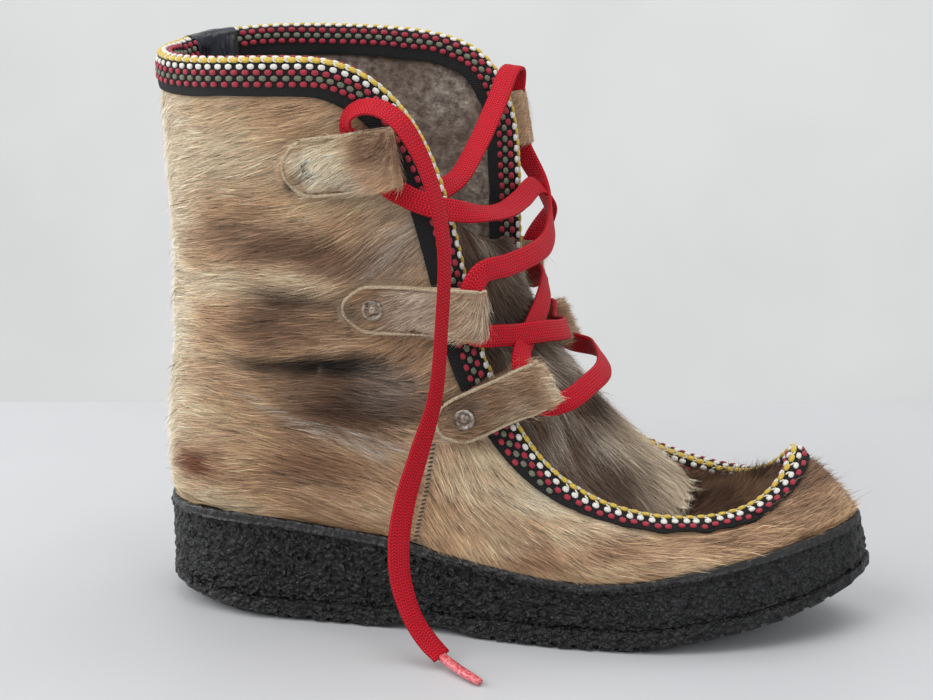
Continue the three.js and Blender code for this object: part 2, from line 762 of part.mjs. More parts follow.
function middleCross() {
  const over = flatLace([
    loopMouth("loop_lateral_middle", -1, 8.6),
    stop(141, -42, 121.5, 0.4, -0.9, 0.1),
    stop(152, -28, 120, 0.7, -0.6, 0.4),
    stop(159, -9, 118.5, 0.8, -0.2, 0.55),
    stop(160.5, 9, 117.5, 0.8, 0.2, 0.55),
    stop(158, 27, 115.5, 0.6, 0.7, 0.4),
    loopMouth("loop_medial_low", 1, 6.8),
  ], { steps: 14 });
  const under = flatLace([
    loopMouth("loop_lateral_low", 1, 8.9),
    stop(150, -39, 116, 0.4, -0.9, 0.1),
    stop(154, -26, 119.3, 0.7, -0.6, 0.4),
    stop(156.5, -8, 121.5, 0.8, -0.2, 0.55),
    stop(156.5, 9, 122.5, 0.8, 0.2, 0.55),
    stop(152, 29, 122, 0.6, 0.7, 0.4),
    loopMouth("loop_medial_middle", -1, 5.8),
  ], { steps: 14 });
  return fromManifold(toManifold(over).add(toManifold(under)));
}

function topCross() {
  const down = flatLace([
    loopMouth("loop_lateral_top", -1),
    stop(104, -47.5, 175.5, 0.2, -0.9, 0.3),
    stop(113, -47, 172, 0.3, -0.9, 0.3),
    stop(122.5, -41, 169, 0.6, -0.7, 0.4),
    stop(131, -28, 165.9, 0.5, -0.3, 0.8),
    stop(136.5, -8, 163.5, 0.5, 0, 0.85),
    stop(140, 12, 164, 0.6, 0.1, 0.8),
    stop(144, 33, 165.5, 0.8, 0.4, 0.5),
    stop(149, 43, 156, 0.9, 0.5, 0.1),
    loopMouth("loop_medial_middle", 1),
  ], { steps: 16 });
  const up = flatLace([
    loopMouth("loop_lateral_middle", 1),
    stop(131.5, -44, 146, 0.4, -0.9, 0.1),
    stop(140, -30, 146.7, 0.7, -0.6, 0.4),
    stop(147.5, -12, 147.3, 0.85, -0.2, 0.4),
    stop(151, 8, 148.5, 0.9, 0.1, 0.4),
    stop(150, 28, 154.5, 0.8, 0.5, 0.3),
    stop(145, 41, 164, 0.6, 0.8, 0.1),
    loopMouth("loop_medial_top", -1),
  ], { steps: 15 });
  return fromManifold(toManifold(down).add(toManifold(up)));
}

// End of the lace that leaves the top loop on the outer side, arches over and hangs to the floor
function lateralEnd() {
  return flatLace([
    loopMouth("loop_lateral_top", 1, 4.2),
    stop(87.5, -56, 207, 0.3, -0.9, 0.3),
    stop(92, -58.5, 210.6, 0.1, -0.9, 0.5),
    stop(98, -60, 211, 0.3, -0.9, 0.5),
    stop(105, -62, 206, 0.3, -0.95, 0.3),
    stop(112, -63, 195, 0.3, -0.95, 0.2),
    stop(118, -64, 177.5, 0.3, -0.95, 0.1),
    stop(121, -64, 159, 0.2, -1, 0),
    stop(120, -64, 132, 0, -1, 0),
    stop(117.5, -64, 104, -0.1, -1, 0),
    stop(111.7, -64, 83, -0.1, -1, 0),
    stop(106, -64, 63, 0, -1, 0),
    stop(103.6, -65, 47, 0.2, -1, 0.1),
    stop(104.5, -66, 31, 0.3, -0.9, 0.3),
    stop(109.5, -68, 17, 0.3, -0.7, 0.7),
    stop(115.5, -70, 9, 0, -0.4, 0.9),
    stop(121, -72.5, 4.6, 0, -0.2, 1),
  ], { steps: 36 });
}

const AGLET = { width: 3.6, thick: 2.6 };

function lateralAglet() {
  return flatLace([
    stop(121.7, -73.1, 4.2, 0, -0.2, 1),
    stop(129, -79.5, 2.6, 0, 0, 1),
    stop(137.5, -87, 1.7, 0, 0, 1),
  ], { steps: 4, ...AGLET });
}

// End of the lace that leaves the top loop on the inner side, goes over the edge and down inside
function medialEnd() {
  return flatLace([
    loopMouth("loop_medial_top", 1),
    stop(133.5, 44, 211, 0.2, 0.5, 0.9),
    stop(132, 37, 211.5, 0, -0.3, 1),
    stop(128.5, 21, 200, -0.1, -0.9, 0.6),
    stop(123.5, 1, 186, -0.1, -0.9, 0.6),
    stop(118.5, -15, 176.5, -0.1, -0.9, 0.5),
    stop(112, -24, 172, -0.1, -1, 0.2),
    stop(105.5, -28, 160, 0, -1, 0),
    stop(101.5, -29.5, 144, 0, -1, 0),
  ], { steps: 20 });
}

function medialAglet() {
  return flatLace([
    stop(101.4, -29.6, 143.6, 0, -1, 0),
    stop(99.5, -30, 133, 0, -1, 0),
    stop(98, -30, 122, 0, -1, 0),
  ], { steps: 3, ...AGLET });
}

function piece(name, geometry, look) {
  const [color, roughness, metalness] = COLOURS[look];
  const mesh = new THREE.Mesh(geometry, new THREE.MeshStandardMaterial({ color, roughness, metalness }));
  mesh.name = name;
  return mesh;
}

const shoe = [
  piece("outsole", outsole(), "rubber"),
  piece("midsole", midsole(), "rubber"),
  piece("insole", insole(), "felt"),
  piece("upper", upper(), "hide"),
  piece("tongue", apron(TONGUE, 1.2), "hide"),
  piece("toe_plug", apron(TOE_PLUG, 2), "hide"),
  piece("edge_braid", braid(), "braid"),
  piece("collar_tape", collarTape(), "tape"),
  ...LOOPS.flatMap((loop) => [
    piece(loop.name, laceLoop(loop), "hide"),
    piece(loop.name.replace("loop", "rivet"), rivet(loop), "rivet"),
  ]),
  piece("lace_bar_low", lowBar(), "lace"),
  piece("lace_cross_middle", middleCross(), "lace"),
  piece("lace_cross_top", topCross(), "lace"),
];
const ends = [
  piece("lace_end_lateral", lateralEnd(), "lace"),
  piece("aglet_lateral", lateralAglet(), "aglet"),
  piece("lace_end_medial", medialEnd(), "lace"),
  piece("aglet_medial", medialAglet(), "aglet"),
];

// The origin is under the middle of the shoe, on the floor
const boot = new THREE.Group();
boot.add(...shoe);
const bounds = new THREE.Box3().setFromObject(boot);
const middle = bounds.getCenter(vector(0, 0, 0));
boot.add(...ends);
boot.position.set(-middle.x, -middle.y, -bounds.min.z);

export default boot;
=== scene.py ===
"""Looks of a right winter boot: short-haired hide, woven edge braid, flat red lace and a crepe sole."""
import itertools
import math
from math import cos, pi, radians, sin

import bmesh
import bpy
import numpy as np
from mathutils import Matrix, Vector
from mathutils.bvhtree import BVHTree


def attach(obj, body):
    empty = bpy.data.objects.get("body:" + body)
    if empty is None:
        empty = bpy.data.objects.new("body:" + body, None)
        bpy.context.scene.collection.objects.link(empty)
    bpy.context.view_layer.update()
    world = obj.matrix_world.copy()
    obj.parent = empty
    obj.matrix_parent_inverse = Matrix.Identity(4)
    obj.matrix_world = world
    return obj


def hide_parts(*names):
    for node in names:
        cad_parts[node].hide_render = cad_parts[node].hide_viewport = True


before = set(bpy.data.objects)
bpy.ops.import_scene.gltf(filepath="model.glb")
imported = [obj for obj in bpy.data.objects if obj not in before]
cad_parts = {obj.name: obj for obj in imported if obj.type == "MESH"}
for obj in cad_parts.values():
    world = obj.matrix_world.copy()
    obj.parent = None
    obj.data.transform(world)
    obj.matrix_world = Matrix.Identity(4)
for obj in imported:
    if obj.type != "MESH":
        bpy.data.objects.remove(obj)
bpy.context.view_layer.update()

MM = 0.001
# Where the boot's own millimetres start: at the back of the sole, on the floor, on the foot's centre line
HEEL = Vector((-139.5, 1.972, 0.0))
OUTER, INNER = -1, 1
WALL = 3.0
LACE_WIDTH = 8.5
LACE_THICK = 1.7
TIP_WIDTH, TIP_THICK = 3.6, 2.6
BRAID_FACE = 2.1


def side_of(name):
    return OUTER if "lateral" in name else INNER


def at(x, y, z):
    """Point of the boot's own millimetres in the frame."""
    return (Vector((x, y, z)) + HEEL) * MM


def own(points):
    """Points of the frame as an array of the boot's own millimetres."""
    return np.asarray(points) / MM - np.array(HEEL)


# Camera and cords

PHOTO_WIDTH = 933
FOCAL_PIXELS = 2009
PITCH, YAW = 15.3, 8.3
EYE = (231.1, -763.0, 315.5)


def make_camera():
    data = bpy.data.cameras.new("camera")
    data.sensor_width = 36
    data.lens = data.sensor_width * FOCAL_PIXELS / PHOTO_WIDTH
    data.clip_start, data.clip_end = 0.05, 20
    camera = bpy.data.objects.new("camera", data)
    camera.location = at(*EYE)
    camera.rotation_euler = (radians(90 - PITCH), 0, radians(YAW))
    bpy.context.scene.collection.objects.link(camera)
    bpy.context.scene.camera = camera


def mesh_of(bm, name):
    """The mesh that a bmesh has made."""
    mesh = bpy.data.meshes.new(name)
    bm.to_mesh(mesh)
    bm.free()
    return mesh


def new_object(name, mesh, *materials):
    piece = bpy.data.objects.new(name, mesh)
    bpy.context.scene.collection.objects.link(piece)
    for material in materials:
        mesh.materials.append(material)
    return piece


def finished(piece, slot, *replaced):
    """Lets a piece ride on the boot and hides the nodes that it stands for; slot is not used."""
    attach(piece, "root")
    if replaced:
        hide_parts(*replaced)
    for face in piece.data.polygons:
        face.use_smooth = True
    return piece


def spline(points, per_span=12):
    """Smooth line through points: centripetal Catmull-Rom, at even steps between them."""
    points = [Vector(p) for p in points]
    first, last = 2 * points[0] - points[1], 2 * points[-1] - points[-2]
    points = [first, *points, last]
    line = []
    for a, b, c, d in zip(points, points[1:], points[2:], points[3:]):
        t = [0.0]
        for p, q in ((a, b), (b, c), (c, d)):
            t.append(t[-1] + max((q - p).length, 1e-6) ** 0.5)
        for k in range(per_span):
            s = t[1] + (t[2] - t[1]) * k / per_span
            ab = a.lerp(b, (s - t[0]) / (t[1] - t[0]))
            bc = b.lerp(c, (s - t[1]) / (t[2] - t[1]))
            cd = c.lerp(d, (s - t[2]) / (t[3] - t[2]))
            abc = ab.lerp(bc, (s - t[0]) / (t[2] - t[0]))
            bcd = bc.lerp(cd, (s - t[1]) / (t[3] - t[1]))
            line.append(abc.lerp(bcd, (s - t[1]) / (t[2] - t[1])))
    return line + [points[-2]]


def line_length(line):
    return sum((b - a).length for a, b in zip(line, line[1:]))


# Rows of x, y, z and the way that the lace's face looks
LATERAL_END = [
    ((88, -47.6, 190), (0, -1, 0.1)),
    ((84.5, -48.4, 197), (-0.3, -0.9, 0.1)),
    ((83.2, -51.2, 202), (-0.55, -0.75, 0.25)),
    ((85.8, -55.2, 207), (-0.25, -0.65, 0.7)),
    ((91.5, -58, 209.6), (0.1, -0.6, 0.8)),
    ((98, -59.8, 209), (0.4, -0.62, 0.68)),
    ((105, -62, 204.6), (0.65, -0.62, 0.4)),
    ((112, -63, 194), (0.86, -0.48, 0.2)),
    ((118, -64, 177.5), (0.9, -0.4, 0.1)),
    ((121, -64, 159), (0.92, -0.36, 0)),
    ((120, -64, 132), (0.92, -0.36, 0)),
    ((117.5, -64, 104), (0.86, -0.48, 0)),
    ((111.7, -64, 83), (0.66, -0.74, 0)),
    ((106, -64, 63), (0.5, -0.86, 0)),
    ((103.6, -65, 47), (0.45, -0.88, 0.1)),
    ((104.5, -66, 31), (0.5, -0.8, 0.3)),
    ((109.5, -68, 17), (0.5, -0.6, 0.6)),
    ((115.5, -70, 9), (0.2, -0.5, 0.85)),
    ((121, -72.5, 4.6), (0, -0.25, 1)),
]
MEDIAL_END = [
    ((133.5, 44, 211), (0.2, 0.5, 0.9)),
    ((132, 37, 211.5), (0, -0.3, 1)),
    ((128.5, 21, 200), (-0.1, -0.9, 0.6)),
    ((123.5, 1, 186), (-0.1, -0.9, 0.6)),
    ((118.5, -15, 176.5), (-0.1, -0.9, 0.5)),
    ((112, -24, 172), (-0.1, -1, 0.2)),
    ((105.5, -28, 160), (0, -1, 0)),
    ((101.5, -29.5, 144), (0, -1, 0)),
]
LATERAL_TIP = [
    ((121.7, -73.1, 4.2), (0, -0.2, 1)),
    ((129, -79.5, 2.6), (0, 0, 1)),
    ((137.5, -87, 1.7), (0, 0, 1)),
]
MEDIAL_TIP = [
    ((101.4, -29.6, 143.6), (0, -1, 0)),
    ((99.5, -30, 133), (0, -1, 0)),
    ((98, -30, 122), (0, -1, 0)),
]
LACE_SECTION = [
    (0.5, 0.16), (0.44, 0.42), (0.25, 0.5), (0, 0.46), (-0.25, 0.5), (-0.44, 0.42),
    (-0.5, 0.16), (-0.5, -0.16), (-0.44, -0.42), (-0.25, -0.5), (0, -0.46), (0.25, -0.5),
    (0.44, -0.42), (0.5, -0.16),
]


def flat_band(name, route, width, thick, step=1.2, taper=0):
    """Band along a route, its mesh and its centre line. Its UV runs along and round it, in millimetres."""
    line = spline([at(*p) for p, _ in route], 24)
    looks = spline([Vector(face) for _, face in route], 24)
    pace = [0.0]
    for a, b in zip(line, line[1:]):
        pace.append(pace[-1] + (b - a).length)
    count = max(4, round(pace[-1] / (step * MM)))
    places = np.linspace(0, pace[-1], count + 1)
    line = [Vector([np.interp(s, pace, [p[k] for p in line]) for k in range(3)]) for s in places]
    looks = [Vector([np.interp(s, pace, [f[k] for f in looks]) for k in range(3)]) for s in places]
    bm = bmesh.new()
    uv = bm.loops.layers.uv.new("band")
    rings = []
    for k, point in enumerate(line):
        tangent = (line[min(k + 1, count)] - line[max(k - 1, 0)]).normalized()
        across = looks[k].cross(tangent).normalized()
        face = tangent.cross(across).normalized()
        size = 1 - taper * max(0, k / count - 0.75) / 0.25
        ring = [
            bm.verts.new(point + across * (a * width * size * MM) + face * (b * thick * size * MM))
            for a, b in LACE_SECTION
        ]
        rings.append(ring)
    n = len(LACE_SECTION)
    for k, (a, b) in enumerate(zip(rings, rings[1:])):
        for i in range(n):
            j = (i + 1) % n
            face = bm.faces.new((a[i], a[j], b[j], b[i]))
            run = (places[k] / MM, places[k + 1] / MM)
            spread = (LACE_SECTION[i][0] * width, LACE_SECTION[j][0] * width)
            for loop, (u, v) in zip(face.loops, ((0, 0), (0, 1), (1, 1), (1, 0))):
                loop[uv].uv = (run[u], spread[v])
    bm.faces.new(rings[0])
    bm.faces.new(list(reversed(rings[-1])))
    bmesh.ops.recalc_face_normals(bm, faces=bm.faces)
    return mesh_of(bm, name), line


# Shader maths

class Wire:
    """A socket in a finish, with the arithmetic of its number."""

    def __init__(self, finish, socket):
        self.finish, self.socket = finish, socket

    def maths(self, operation, *values):
        return self.finish.node("Math", {"operation": operation}, dict(enumerate(values)))

    def __add__(self, other):
        return self.maths("ADD", self, other)

    def __sub__(self, other):
        return self.maths("SUBTRACT", self, other)

    def __mul__(self, other):
        return self.maths("MULTIPLY", self, other)

    def __truediv__(self, other):
        return self.maths("DIVIDE", self, other)

    def __rsub__(self, other):
        return self.maths("SUBTRACT", other, self)

    __radd__, __rmul__ = __add__, __mul__

    def between(self, low, high):
        """0 below low and 1 above high, smooth between them."""
        return self.finish.node(
            "MapRange", {"interpolation_type": "SMOOTHSTEP"}, {0: self, 1: low, 2: high, 3: 0.0, 4: 1.0}
        )

    def wave(self):
        return self.maths("SINE", self)


class Finish:
    """A material in the making, with one Principled shader."""

    def __init__(self, name, roughness, **uniform):
        self.material = bpy.data.materials.new(name)
        self.material.use_nodes = True
        self.tree = self.material.node_tree
        self.shader = self.tree.nodes["Principled BSDF"]
        self.shader.inputs["Roughness"].default_value = roughness
        for socket, value in uniform.items():
            self.shader.inputs[socket.replace("_", " ")].default_value = value

    def node(self, kind, settings=None, sockets=None, out=0):
        made = self.tree.nodes.new("ShaderNode" + kind)
        for key, value in (settings or {}).items():
            if key == "stops":
                ramp = made.color_ramp
                while len(ramp.elements) < len(value):
                    ramp.elements.new(0.5)
                for element, (place, colour) in zip(ramp.elements, value):
                    element.position, element.color = place, (*colour, 1)
            else:
                setattr(made, key, value)
        for key, value in (sockets or {}).items():
            if isinstance(value, Wire):
                self.tree.links.new(value.socket, made.inputs[key])
            else:
                made.inputs[key].default_value = value
        return Wire(self, made.outputs[out])

    def place(self, scale=(1, 1, 1), turn=(0, 0, 0)):
        """Object coordinates in millimetres, turned and scaled."""
        coords = self.node("TexCoord", out="Object")
        scale = tuple(s / MM for s in scale)
        return self.node("Mapping", {}, {"Vector": coords, "Rotation": turn, "Scale": scale})

    def band(self):
        """How far along a band and across it, in millimetres, from its own UV."""
        coords = self.node("UVMap", {"uv_map": "band"})
        return [self.node("SeparateXYZ", {}, {0: coords}, out=axis) for axis in (0, 1)]

    def noise(self, vector, scale, detail=2.0, roughness=0.5, distortion=0.0):
        sockets = {
            "Vector": vector, "Scale": scale, "Detail": detail,
            "Roughness": roughness, "Distortion": distortion,
        }
        return self.node("TexNoise", {}, sockets)

    def cells(self, vector, scale):
        return self.node("TexVoronoi", {}, {"Vector": vector, "Scale": scale}, out="Distance")

    def tint(self, name="tint"):
        return self.node("Attribute", {"attribute_name": name}, out="Color")

    def ramp(self, factor, *stops):
        return self.node("ValToRGB", {"stops": stops}, {"Fac": factor})

    def mix(self, factor, a, b):
        a, b = [(*c, 1) if isinstance(c, tuple) else c for c in (a, b)]
        return self.node("Mix", {"data_type": "RGBA"}, {0: factor, 6: a, 7: b}, out=2)

    def set(self, socket, wire):
        self.tree.links.new(wire.socket, self.shader.inputs[socket])
        return self

    def bump(self, height, distance, strength=1.0):
        sockets = {"Height": height, "Distance": distance * MM, "Strength": strength}
        return self.set("Normal", self.node("Bump", {}, sockets))


def colour(code):
    """Linear colour of a six-figure screen colour."""
    values = [int(code[i:i + 2], 16) / 255 for i in (0, 2, 4)]
    return tuple(v / 12.92 if v <= 0.04045 else ((v + 0.055) / 1.055) ** 2.4 for v in values)


# Finishes

def skin_finish():
    """Hide under the hair, in the tint that its hair has."""
    finish = Finish("hide_skin", 0.75)
    streaks = finish.noise(finish.place((0.12, 0.5, 1.6)), 1.0, 4.0, 0.6)
    dark = finish.mix(0.45, finish.tint(), colour("3a2a20"))
    finish.set("Base Color", finish.mix(streaks.between(0.35, 0.65), dark, finish.tint()))
    return finish.bump(streaks, 0.8, 0.6).material


def hair_finish():
    finish = Finish("hair", 0.45, Specular_IOR_Level=0.3)
    finish.set("Base Color", finish.tint())
    return finish.material


def fleece_finish():
    """Matted pile: soft lumps with light tips and brown hollows."""
    finish = Finish("fleece", 0.95, Sheen_Weight=0.25, Sheen_Roughness=0.5)
    clumps = finish.noise(finish.place(), 0.26, 5.0, 0.62)
    fibres = finish.noise(finish.place(), 1.1, 4.0, 0.7)
    blotches = finish.noise(finish.place(), 0.06, 3.0, 0.6)
    grey = finish.ramp(clumps, (0.34, colour("4f4036")), (0.5, colour("8b7c70")), (0.66, colour("b5a799")))
    grey = finish.mix(fibres.between(0.35, 0.7) * 0.35, grey, colour("5a4b41"))
    finish.set("Base Color", finish.mix(blotches.between(0.42, 0.62) * 0.55, grey, colour("654f40")))
    return finish.bump(clumps + fibres * 0.3, 2.2).material


def suede_finish():
    """Cut edges and flesh side of the loops."""
    finish = Finish("cut_leather", 0.85)
    nap = finish.noise(finish.place(), 1.6, 5.0, 0.65)
    finish.set("Base Color", finish.ramp(nap, (0.35, colour("8d7a62")), (0.6, colour("c9b89b"))))
    return finish.bump(nap, 0.35).material


def braid_finish():
    """Black ground of the braid: fine ribs along and across the band."""
    finish = Finish("braid_ground", 0.7)
    along, across = finish.band()
    ribs = (along * (2 * pi / 1.1)).wave() * (across * (2 * pi / 1.15)).wave()
    fuzz = finish.noise(finish.place(), 2.2, 3.0)
    finish.set("Base Color", finish.ramp(fuzz, (0.35, colour("050506")), (0.7, colour("151417"))))
    return finish.bump(ribs * 0.6 + fuzz * 0.3, 1.1).material


def yarn_finish(name, code, shade):
    """Yarn of one colour, in fine twisted strands."""
    finish = Finish(name, 0.55, Sheen_Weight=0.15)
    twist = finish.noise(finish.place((1, 1, 1), (0.5, 0.3, 0.8)), 3.2, 3.0, 0.6)
    finish.set("Base Color", finish.ramp(twist, (0.3, colour(shade)), (0.62, colour(code))))
    return finish.bump(twist, 0.25).material


def tape_finish():
    """Glossy tape, nearly black with a blue cast, in soft crumples."""
    finish = Finish("black_wrap", 0.3, Specular_IOR_Level=0.35, Coat_Weight=0.35, Coat_Roughness=0.1)
    creases = finish.noise(finish.place((1, 1, 0.3)), 0.2, 3.0, 0.5, 1.0)
    finish.set("Base Color", finish.ramp(creases, (0.35, colour("04050a")), (0.7, colour("0e1328"))))
    return finish.bump(creases, 1.6).material


def lace_finish():
    """Flat braided lace: small slanted stitches that meet in a herringbone, with painted shade in darker red
    on the low parts of the stitches and in the grooves between them.
    """
    finish = Finish("lace_red", 0.6, Specular_IOR_Level=0.3)
    run, across = finish.band()
    plait = 2.1
    column = (across / plait + 0.5).maths("PINGPONG", across / plait + 0.5, 0.5) * plait
    slant = (run + column * 1.1) * (2 * pi / 1.25)
    stitch = slant.wave() * 0.5 + 0.5
    groove = column.between(0.0, 0.22) * (plait / 2 - column).between(0.0, 0.22)
    height = stitch.between(0.15, 0.85) * groove
    fuzz = finish.noise(finish.place(), 2.4, 3.0)
    # Painted shade: darker red where the stitches are low and in the grooves between them
    red = finish.mix(height.between(0.1, 0.8), colour("96000f"), colour("f5082f"))
    finish.set("Base Color", finish.mix(fuzz.between(0.3, 0.75) * 0.3, red, colour("cf0526")))
    finish.set("Roughness", 0.75 - height * 0.2)
    return finish.bump(height + fuzz * 0.25, 0.42).material


def aglet_finish():
    finish = Finish("aglet_film", 0.18, Coat_Weight=0.8, Coat_Roughness=0.08)
    folds = finish.noise(finish.place(), 0.9, 3.0, 0.5, 0.8)
    finish.set("Base Color", finish.ramp(folds, (0.35, colour("c02338")), (0.65, colour("ef8f93"))))
    return finish.bump(folds, 0.3).material


def crepe_finish():
    """Black crumbly crepe: glossy at the heel, matter towards the toe, and smoother with dust on the rand;
    painted shade in the pits between crumbs and painted light on their tops.
    """
    finish = Finish("crepe", 0.5, Specular_IOR_Level=0.55)
    x = finish.node("SeparateXYZ", {}, {0: finish.node("TexCoord", out="Object")}, out=0)
    toe = x.between(0.0, 0.08)
    rand = finish.tint("rand")
    lumps = finish.noise(finish.place(), 0.34, 3.0, 0.55, 0.7)
    crumbs = finish.cells(finish.place(), 0.42)
    small = finish.cells(finish.place(), 0.85)
    fine = finish.noise(finish.place(), 1.5, 5.0, 0.7)
    dust = finish.noise(finish.place(), 0.5, 6.0, 0.75)
    height = (0.62 - crumbs) * 1.5 + (0.5 - small) * 0.55 + lumps.between(0.3, 0.7) * 0.6 + fine * 0.25
    # Painted shade and light: black in the pits between the crumbs, dark grey on their tops
    black = finish.mix(height.between(0.5, 1.25), colour("010102"), colour("222225"))
    dust_and_pit_shade = finish.mix(dust.between(0.6, 0.74) * 0.3, black, colour("77767a"))
    smooth = finish.mix(dust.between(0.52, 0.66) * 0.4, colour("0a0a0b"), colour("5d5b58"))
    finish.set("Base Color", finish.mix(rand, dust_and_pit_shade, smooth))
    finish.set("Roughness", toe * 0.14 + fine * 0.22 + 0.2)
    return finish.bump(height * (1 - toe * 0.3) * (1 - rand * 0.85), 2.2).material


def metal_finish():
    """Worn nickel with brown grime."""
    finish = Finish("rivet_metal", 0.35, Metallic=0.9)
    stain = finish.noise(finish.place(), 0.45, 3.0, 0.5)
    finish.set("Base Color", finish.ramp(stain, (0.35, colour("5b4c40")), (0.62, colour("b8b2a7"))))
    finish.set("Roughness", 0.5 - stain * 0.25)
    return finish.bump(stain, 0.15).material


def thread_finish():
    finish = Finish("seam_thread", 0.6)
    twist = finish.noise(finish.place((1, 1, 3)), 1.6, 3.0)
    finish.set("Base Color", finish.ramp(twist, (0.35, colour("17110d")), (0.7, colour("3d3027"))))
    return finish.bump(twist, 0.15).material


# Arrays that follow the hide

def mottle(points, size, seed=0):
    """Smooth noise from -1 to 1, with cells of the given size or sizes in millimetres."""
    cells = points / np.asarray(size, float) + seed * 17.31
    low = np.floor(cells).astype(np.int64)
    part = cells - low
    part = part * part * (3 - 2 * part)
    total = np.zeros(len(points))
    for corner in itertools.product((0, 1), repeat=3):
        key = (low + corner) @ np.array((73856093, 19349663, 83492791))
        key = ((key ^ (key >> 13)) * 1274126177) & 0xFFFFFFFF
        value = ((key ^ (key >> 15)) & 0xFFFF) / 32767.5 - 1
        total += value * np.prod(np.where(corner, part, 1 - part), axis=1)
    return total


# Colours of the hair, and its patches as x, z, their reach along x and z, colour and strength
HAIR_LIGHT, HAIR_TAN, HAIR_BROWN = colour("efdcc0"), colour("cfad8a"), colour("7c5e4a")
HAIR_DARK, HAIR_SILVER, HAIR_RUST = colour("1c120c"), colour("b9afa3"), colour("7c5039")
HAIR_CREAM, HAIR_GREY = colour("f6eacd"), colour("a39485")
PATCHES = [
    # Painted light: these two pale patches on the heel edge stand for the glow of the lamp from behind
    (6, 150, 18, 110, HAIR_LIGHT, 1.0),
    (-4, 120, 12, 110, HAIR_CREAM, 1.0),
    (258, 62, 22, 14, HAIR_BROWN, 0.9),
    (150, 60, 22, 9, HAIR_LIGHT, 0.9),
    (176, 49, 20, 5, HAIR_LIGHT, 0.5),
    (206, 57, 20, 6, HAIR_GREY, 0.8),
    (30, 188, 34, 16, HAIR_LIGHT, 0.6),
    (36, 138, 26, 8, HAIR_LIGHT, 0.6),
    (20, 80, 22, 22, HAIR_LIGHT, 0.25),
    # Painted shade: these two brown rows make the shaded band under the top loop
    (62, 154, 40, 9, HAIR_BROWN, 0.9),
    (85, 150, 24, 10, HAIR_BROWN, 0.8),
    (66, 134, 20, 6, HAIR_DARK, 0.8),
    (60, 124, 28, 10, HAIR_BROWN, 0.9),
    # Painted shade: this dark row and the one at x 80, z 107 lie along the deep crease
    (70, 108, 34, 4, HAIR_DARK, 0.9),
    (90, 94, 34, 17, HAIR_BROWN, 1.2),
    # Painted shade along the deep crease
    (80, 107, 20, 6, HAIR_DARK, 1.25),
    (94, 90, 26, 12, HAIR_DARK, 0.6),
    (77, 80, 24, 8, HAIR_BROWN, 0.7),
    (22, 63, 14, 10, HAIR_RUST, 1.0),
    (70, 64, 22, 7, HAIR_RUST, 0.5),
    (104, 158, 14, 20, HAIR_SILVER, 0.4),
    (102, 100, 16, 12, HAIR_SILVER, 0.4),
    (150, 40, 14, 9, HAIR_RUST, 0.55),
    (176, 44, 12, 5, HAIR_BROWN, 0.5),
    (215, 44, 16, 4, HAIR_BROWN, 0.45),
    (238, 52, 10, 6, HAIR_BROWN, 0.5),
    (128, 70, 18, 12, HAIR_LIGHT, 0.4),
]
# Pale streaks where the hair parts, from x, z to x, z with a half width
STREAKS = [
    (46, 94, 102, 67, 2.4),
    (70, 84, 108, 72, 2.0),
    (92, 146, 116, 172, 3.2),
]


def hide_tint(points):
    """Colour of the hide's hair at points of the boot, with painted light on the heel edge and painted shade
    under the top loop and in the deep crease.
    """
    p = own(points)
    x, y, z = p.T
    tint = repeated(HAIR_TAN, len(p))
    broad = mottle(p, (34, 34, 20), 3)
    small = mottle(p, (14, 9, 6), 13)
    tint = blend(tint, HAIR_BROWN, np.clip(broad - 0.1, 0, 1) * 0.7 + np.clip(small, 0, 1) * 0.35)
    tint = blend(tint, HAIR_LIGHT, np.clip(-broad - 0.15, 0, 1) * 0.7 + np.clip(-small, 0, 1) * 0.3)
    wander = 6 * mottle(p, 14, 5)
    for px, pz, rx, rz, shade, strength in PATCHES:
        apart = np.hypot((x + wander - px) / rx, (z + wander * 0.5 - pz) / rz)
        tint = blend(tint, shade, strength * np.clip(1.35 - apart, 0, 1) ** 1.3)
    for ax, az, bx, bz, half in STREAKS:
        t, apart = from_line(x, z, (ax, az), (bx, bz))
        apart = apart / (0.5 + 1.1 * t)
        grains = mottle(p, 0.5, 31) > np.clip(apart / half, 0, 2) * 0.5 - 0.25
        tint = blend(tint, HAIR_SILVER, 0.95 * np.clip(1.6 - apart / half, 0, 1) * (y < 0) * grains)
    return tint


def from_line(x, z, start, end):
    """How far along a line of x, z each point lies, from 0 to 1, and how far off it."""
    run = np.array(end) - np.array(start)
    t = np.clip(((x - start[0]) * run[0] + (z - start[1]) * run[1]) / (run @ run), 0, 1)
    return t, np.hypot(x - start[0] - t * run[0], z - start[1] - t * run[1])


def blend(tint, shade, part):
    return tint + (np.asarray(shade) - tint) * np.clip(part, 0, 1)[:, None]


# Which way the hair lies, at places x, z of the shaft and heel, and of the vamp and toe
FLOW_REAR = [
    (10, 205, -1, -0.3), (10, 120, -1, -0.15), (10, 55, -1, -0.05),
    (60, 205, -1, -0.25), (60, 150, -1, -0.1), (60, 110, -1, -0.08), (60, 65, -1, 0.12),
    (102, 180, -0.9, -0.35), (104, 150, -0.85, -0.6), (118, 118, -0.85, -0.5),
    (96, 92, -0.9, 0.3), (98, 62, -0.85, 0.45),
]
FLOW_FRONT = [
    (118, 70, 0.5, -0.75), (128, 45, 0.6, -0.6), (142, 66, 0.75, -0.6), (150, 42, 0.85, -0.35),
    (180, 45, 0.95, -0.25), (210, 42, 1, 0.0), (232, 46, 0.95, 0.25), (248, 58, 0.7, 0.7),
]
# Side seam as x, z from its top down, and where the vamp's upper edge starts, with its slope
SEAM = [(113.3, 78.7), (110.4, 59.4), (106.8, 44.2), (105.5, 38)]
VAMP_CORNER = (113, 80, 0.12)


def seam_at(z):
    """How far forward the side seam lies at a height."""
    return np.interp(z, [row[1] for row in reversed(SEAM)], [row[0] for row in reversed(SEAM)])


def before_seam(x, z):
    """True on the quarter, behind the side seam and above the vamp."""
    corner_x, corner_z, slope = VAMP_CORNER
    return (x < seam_at(z)) | (z > corner_z + slope * (x - corner_x))


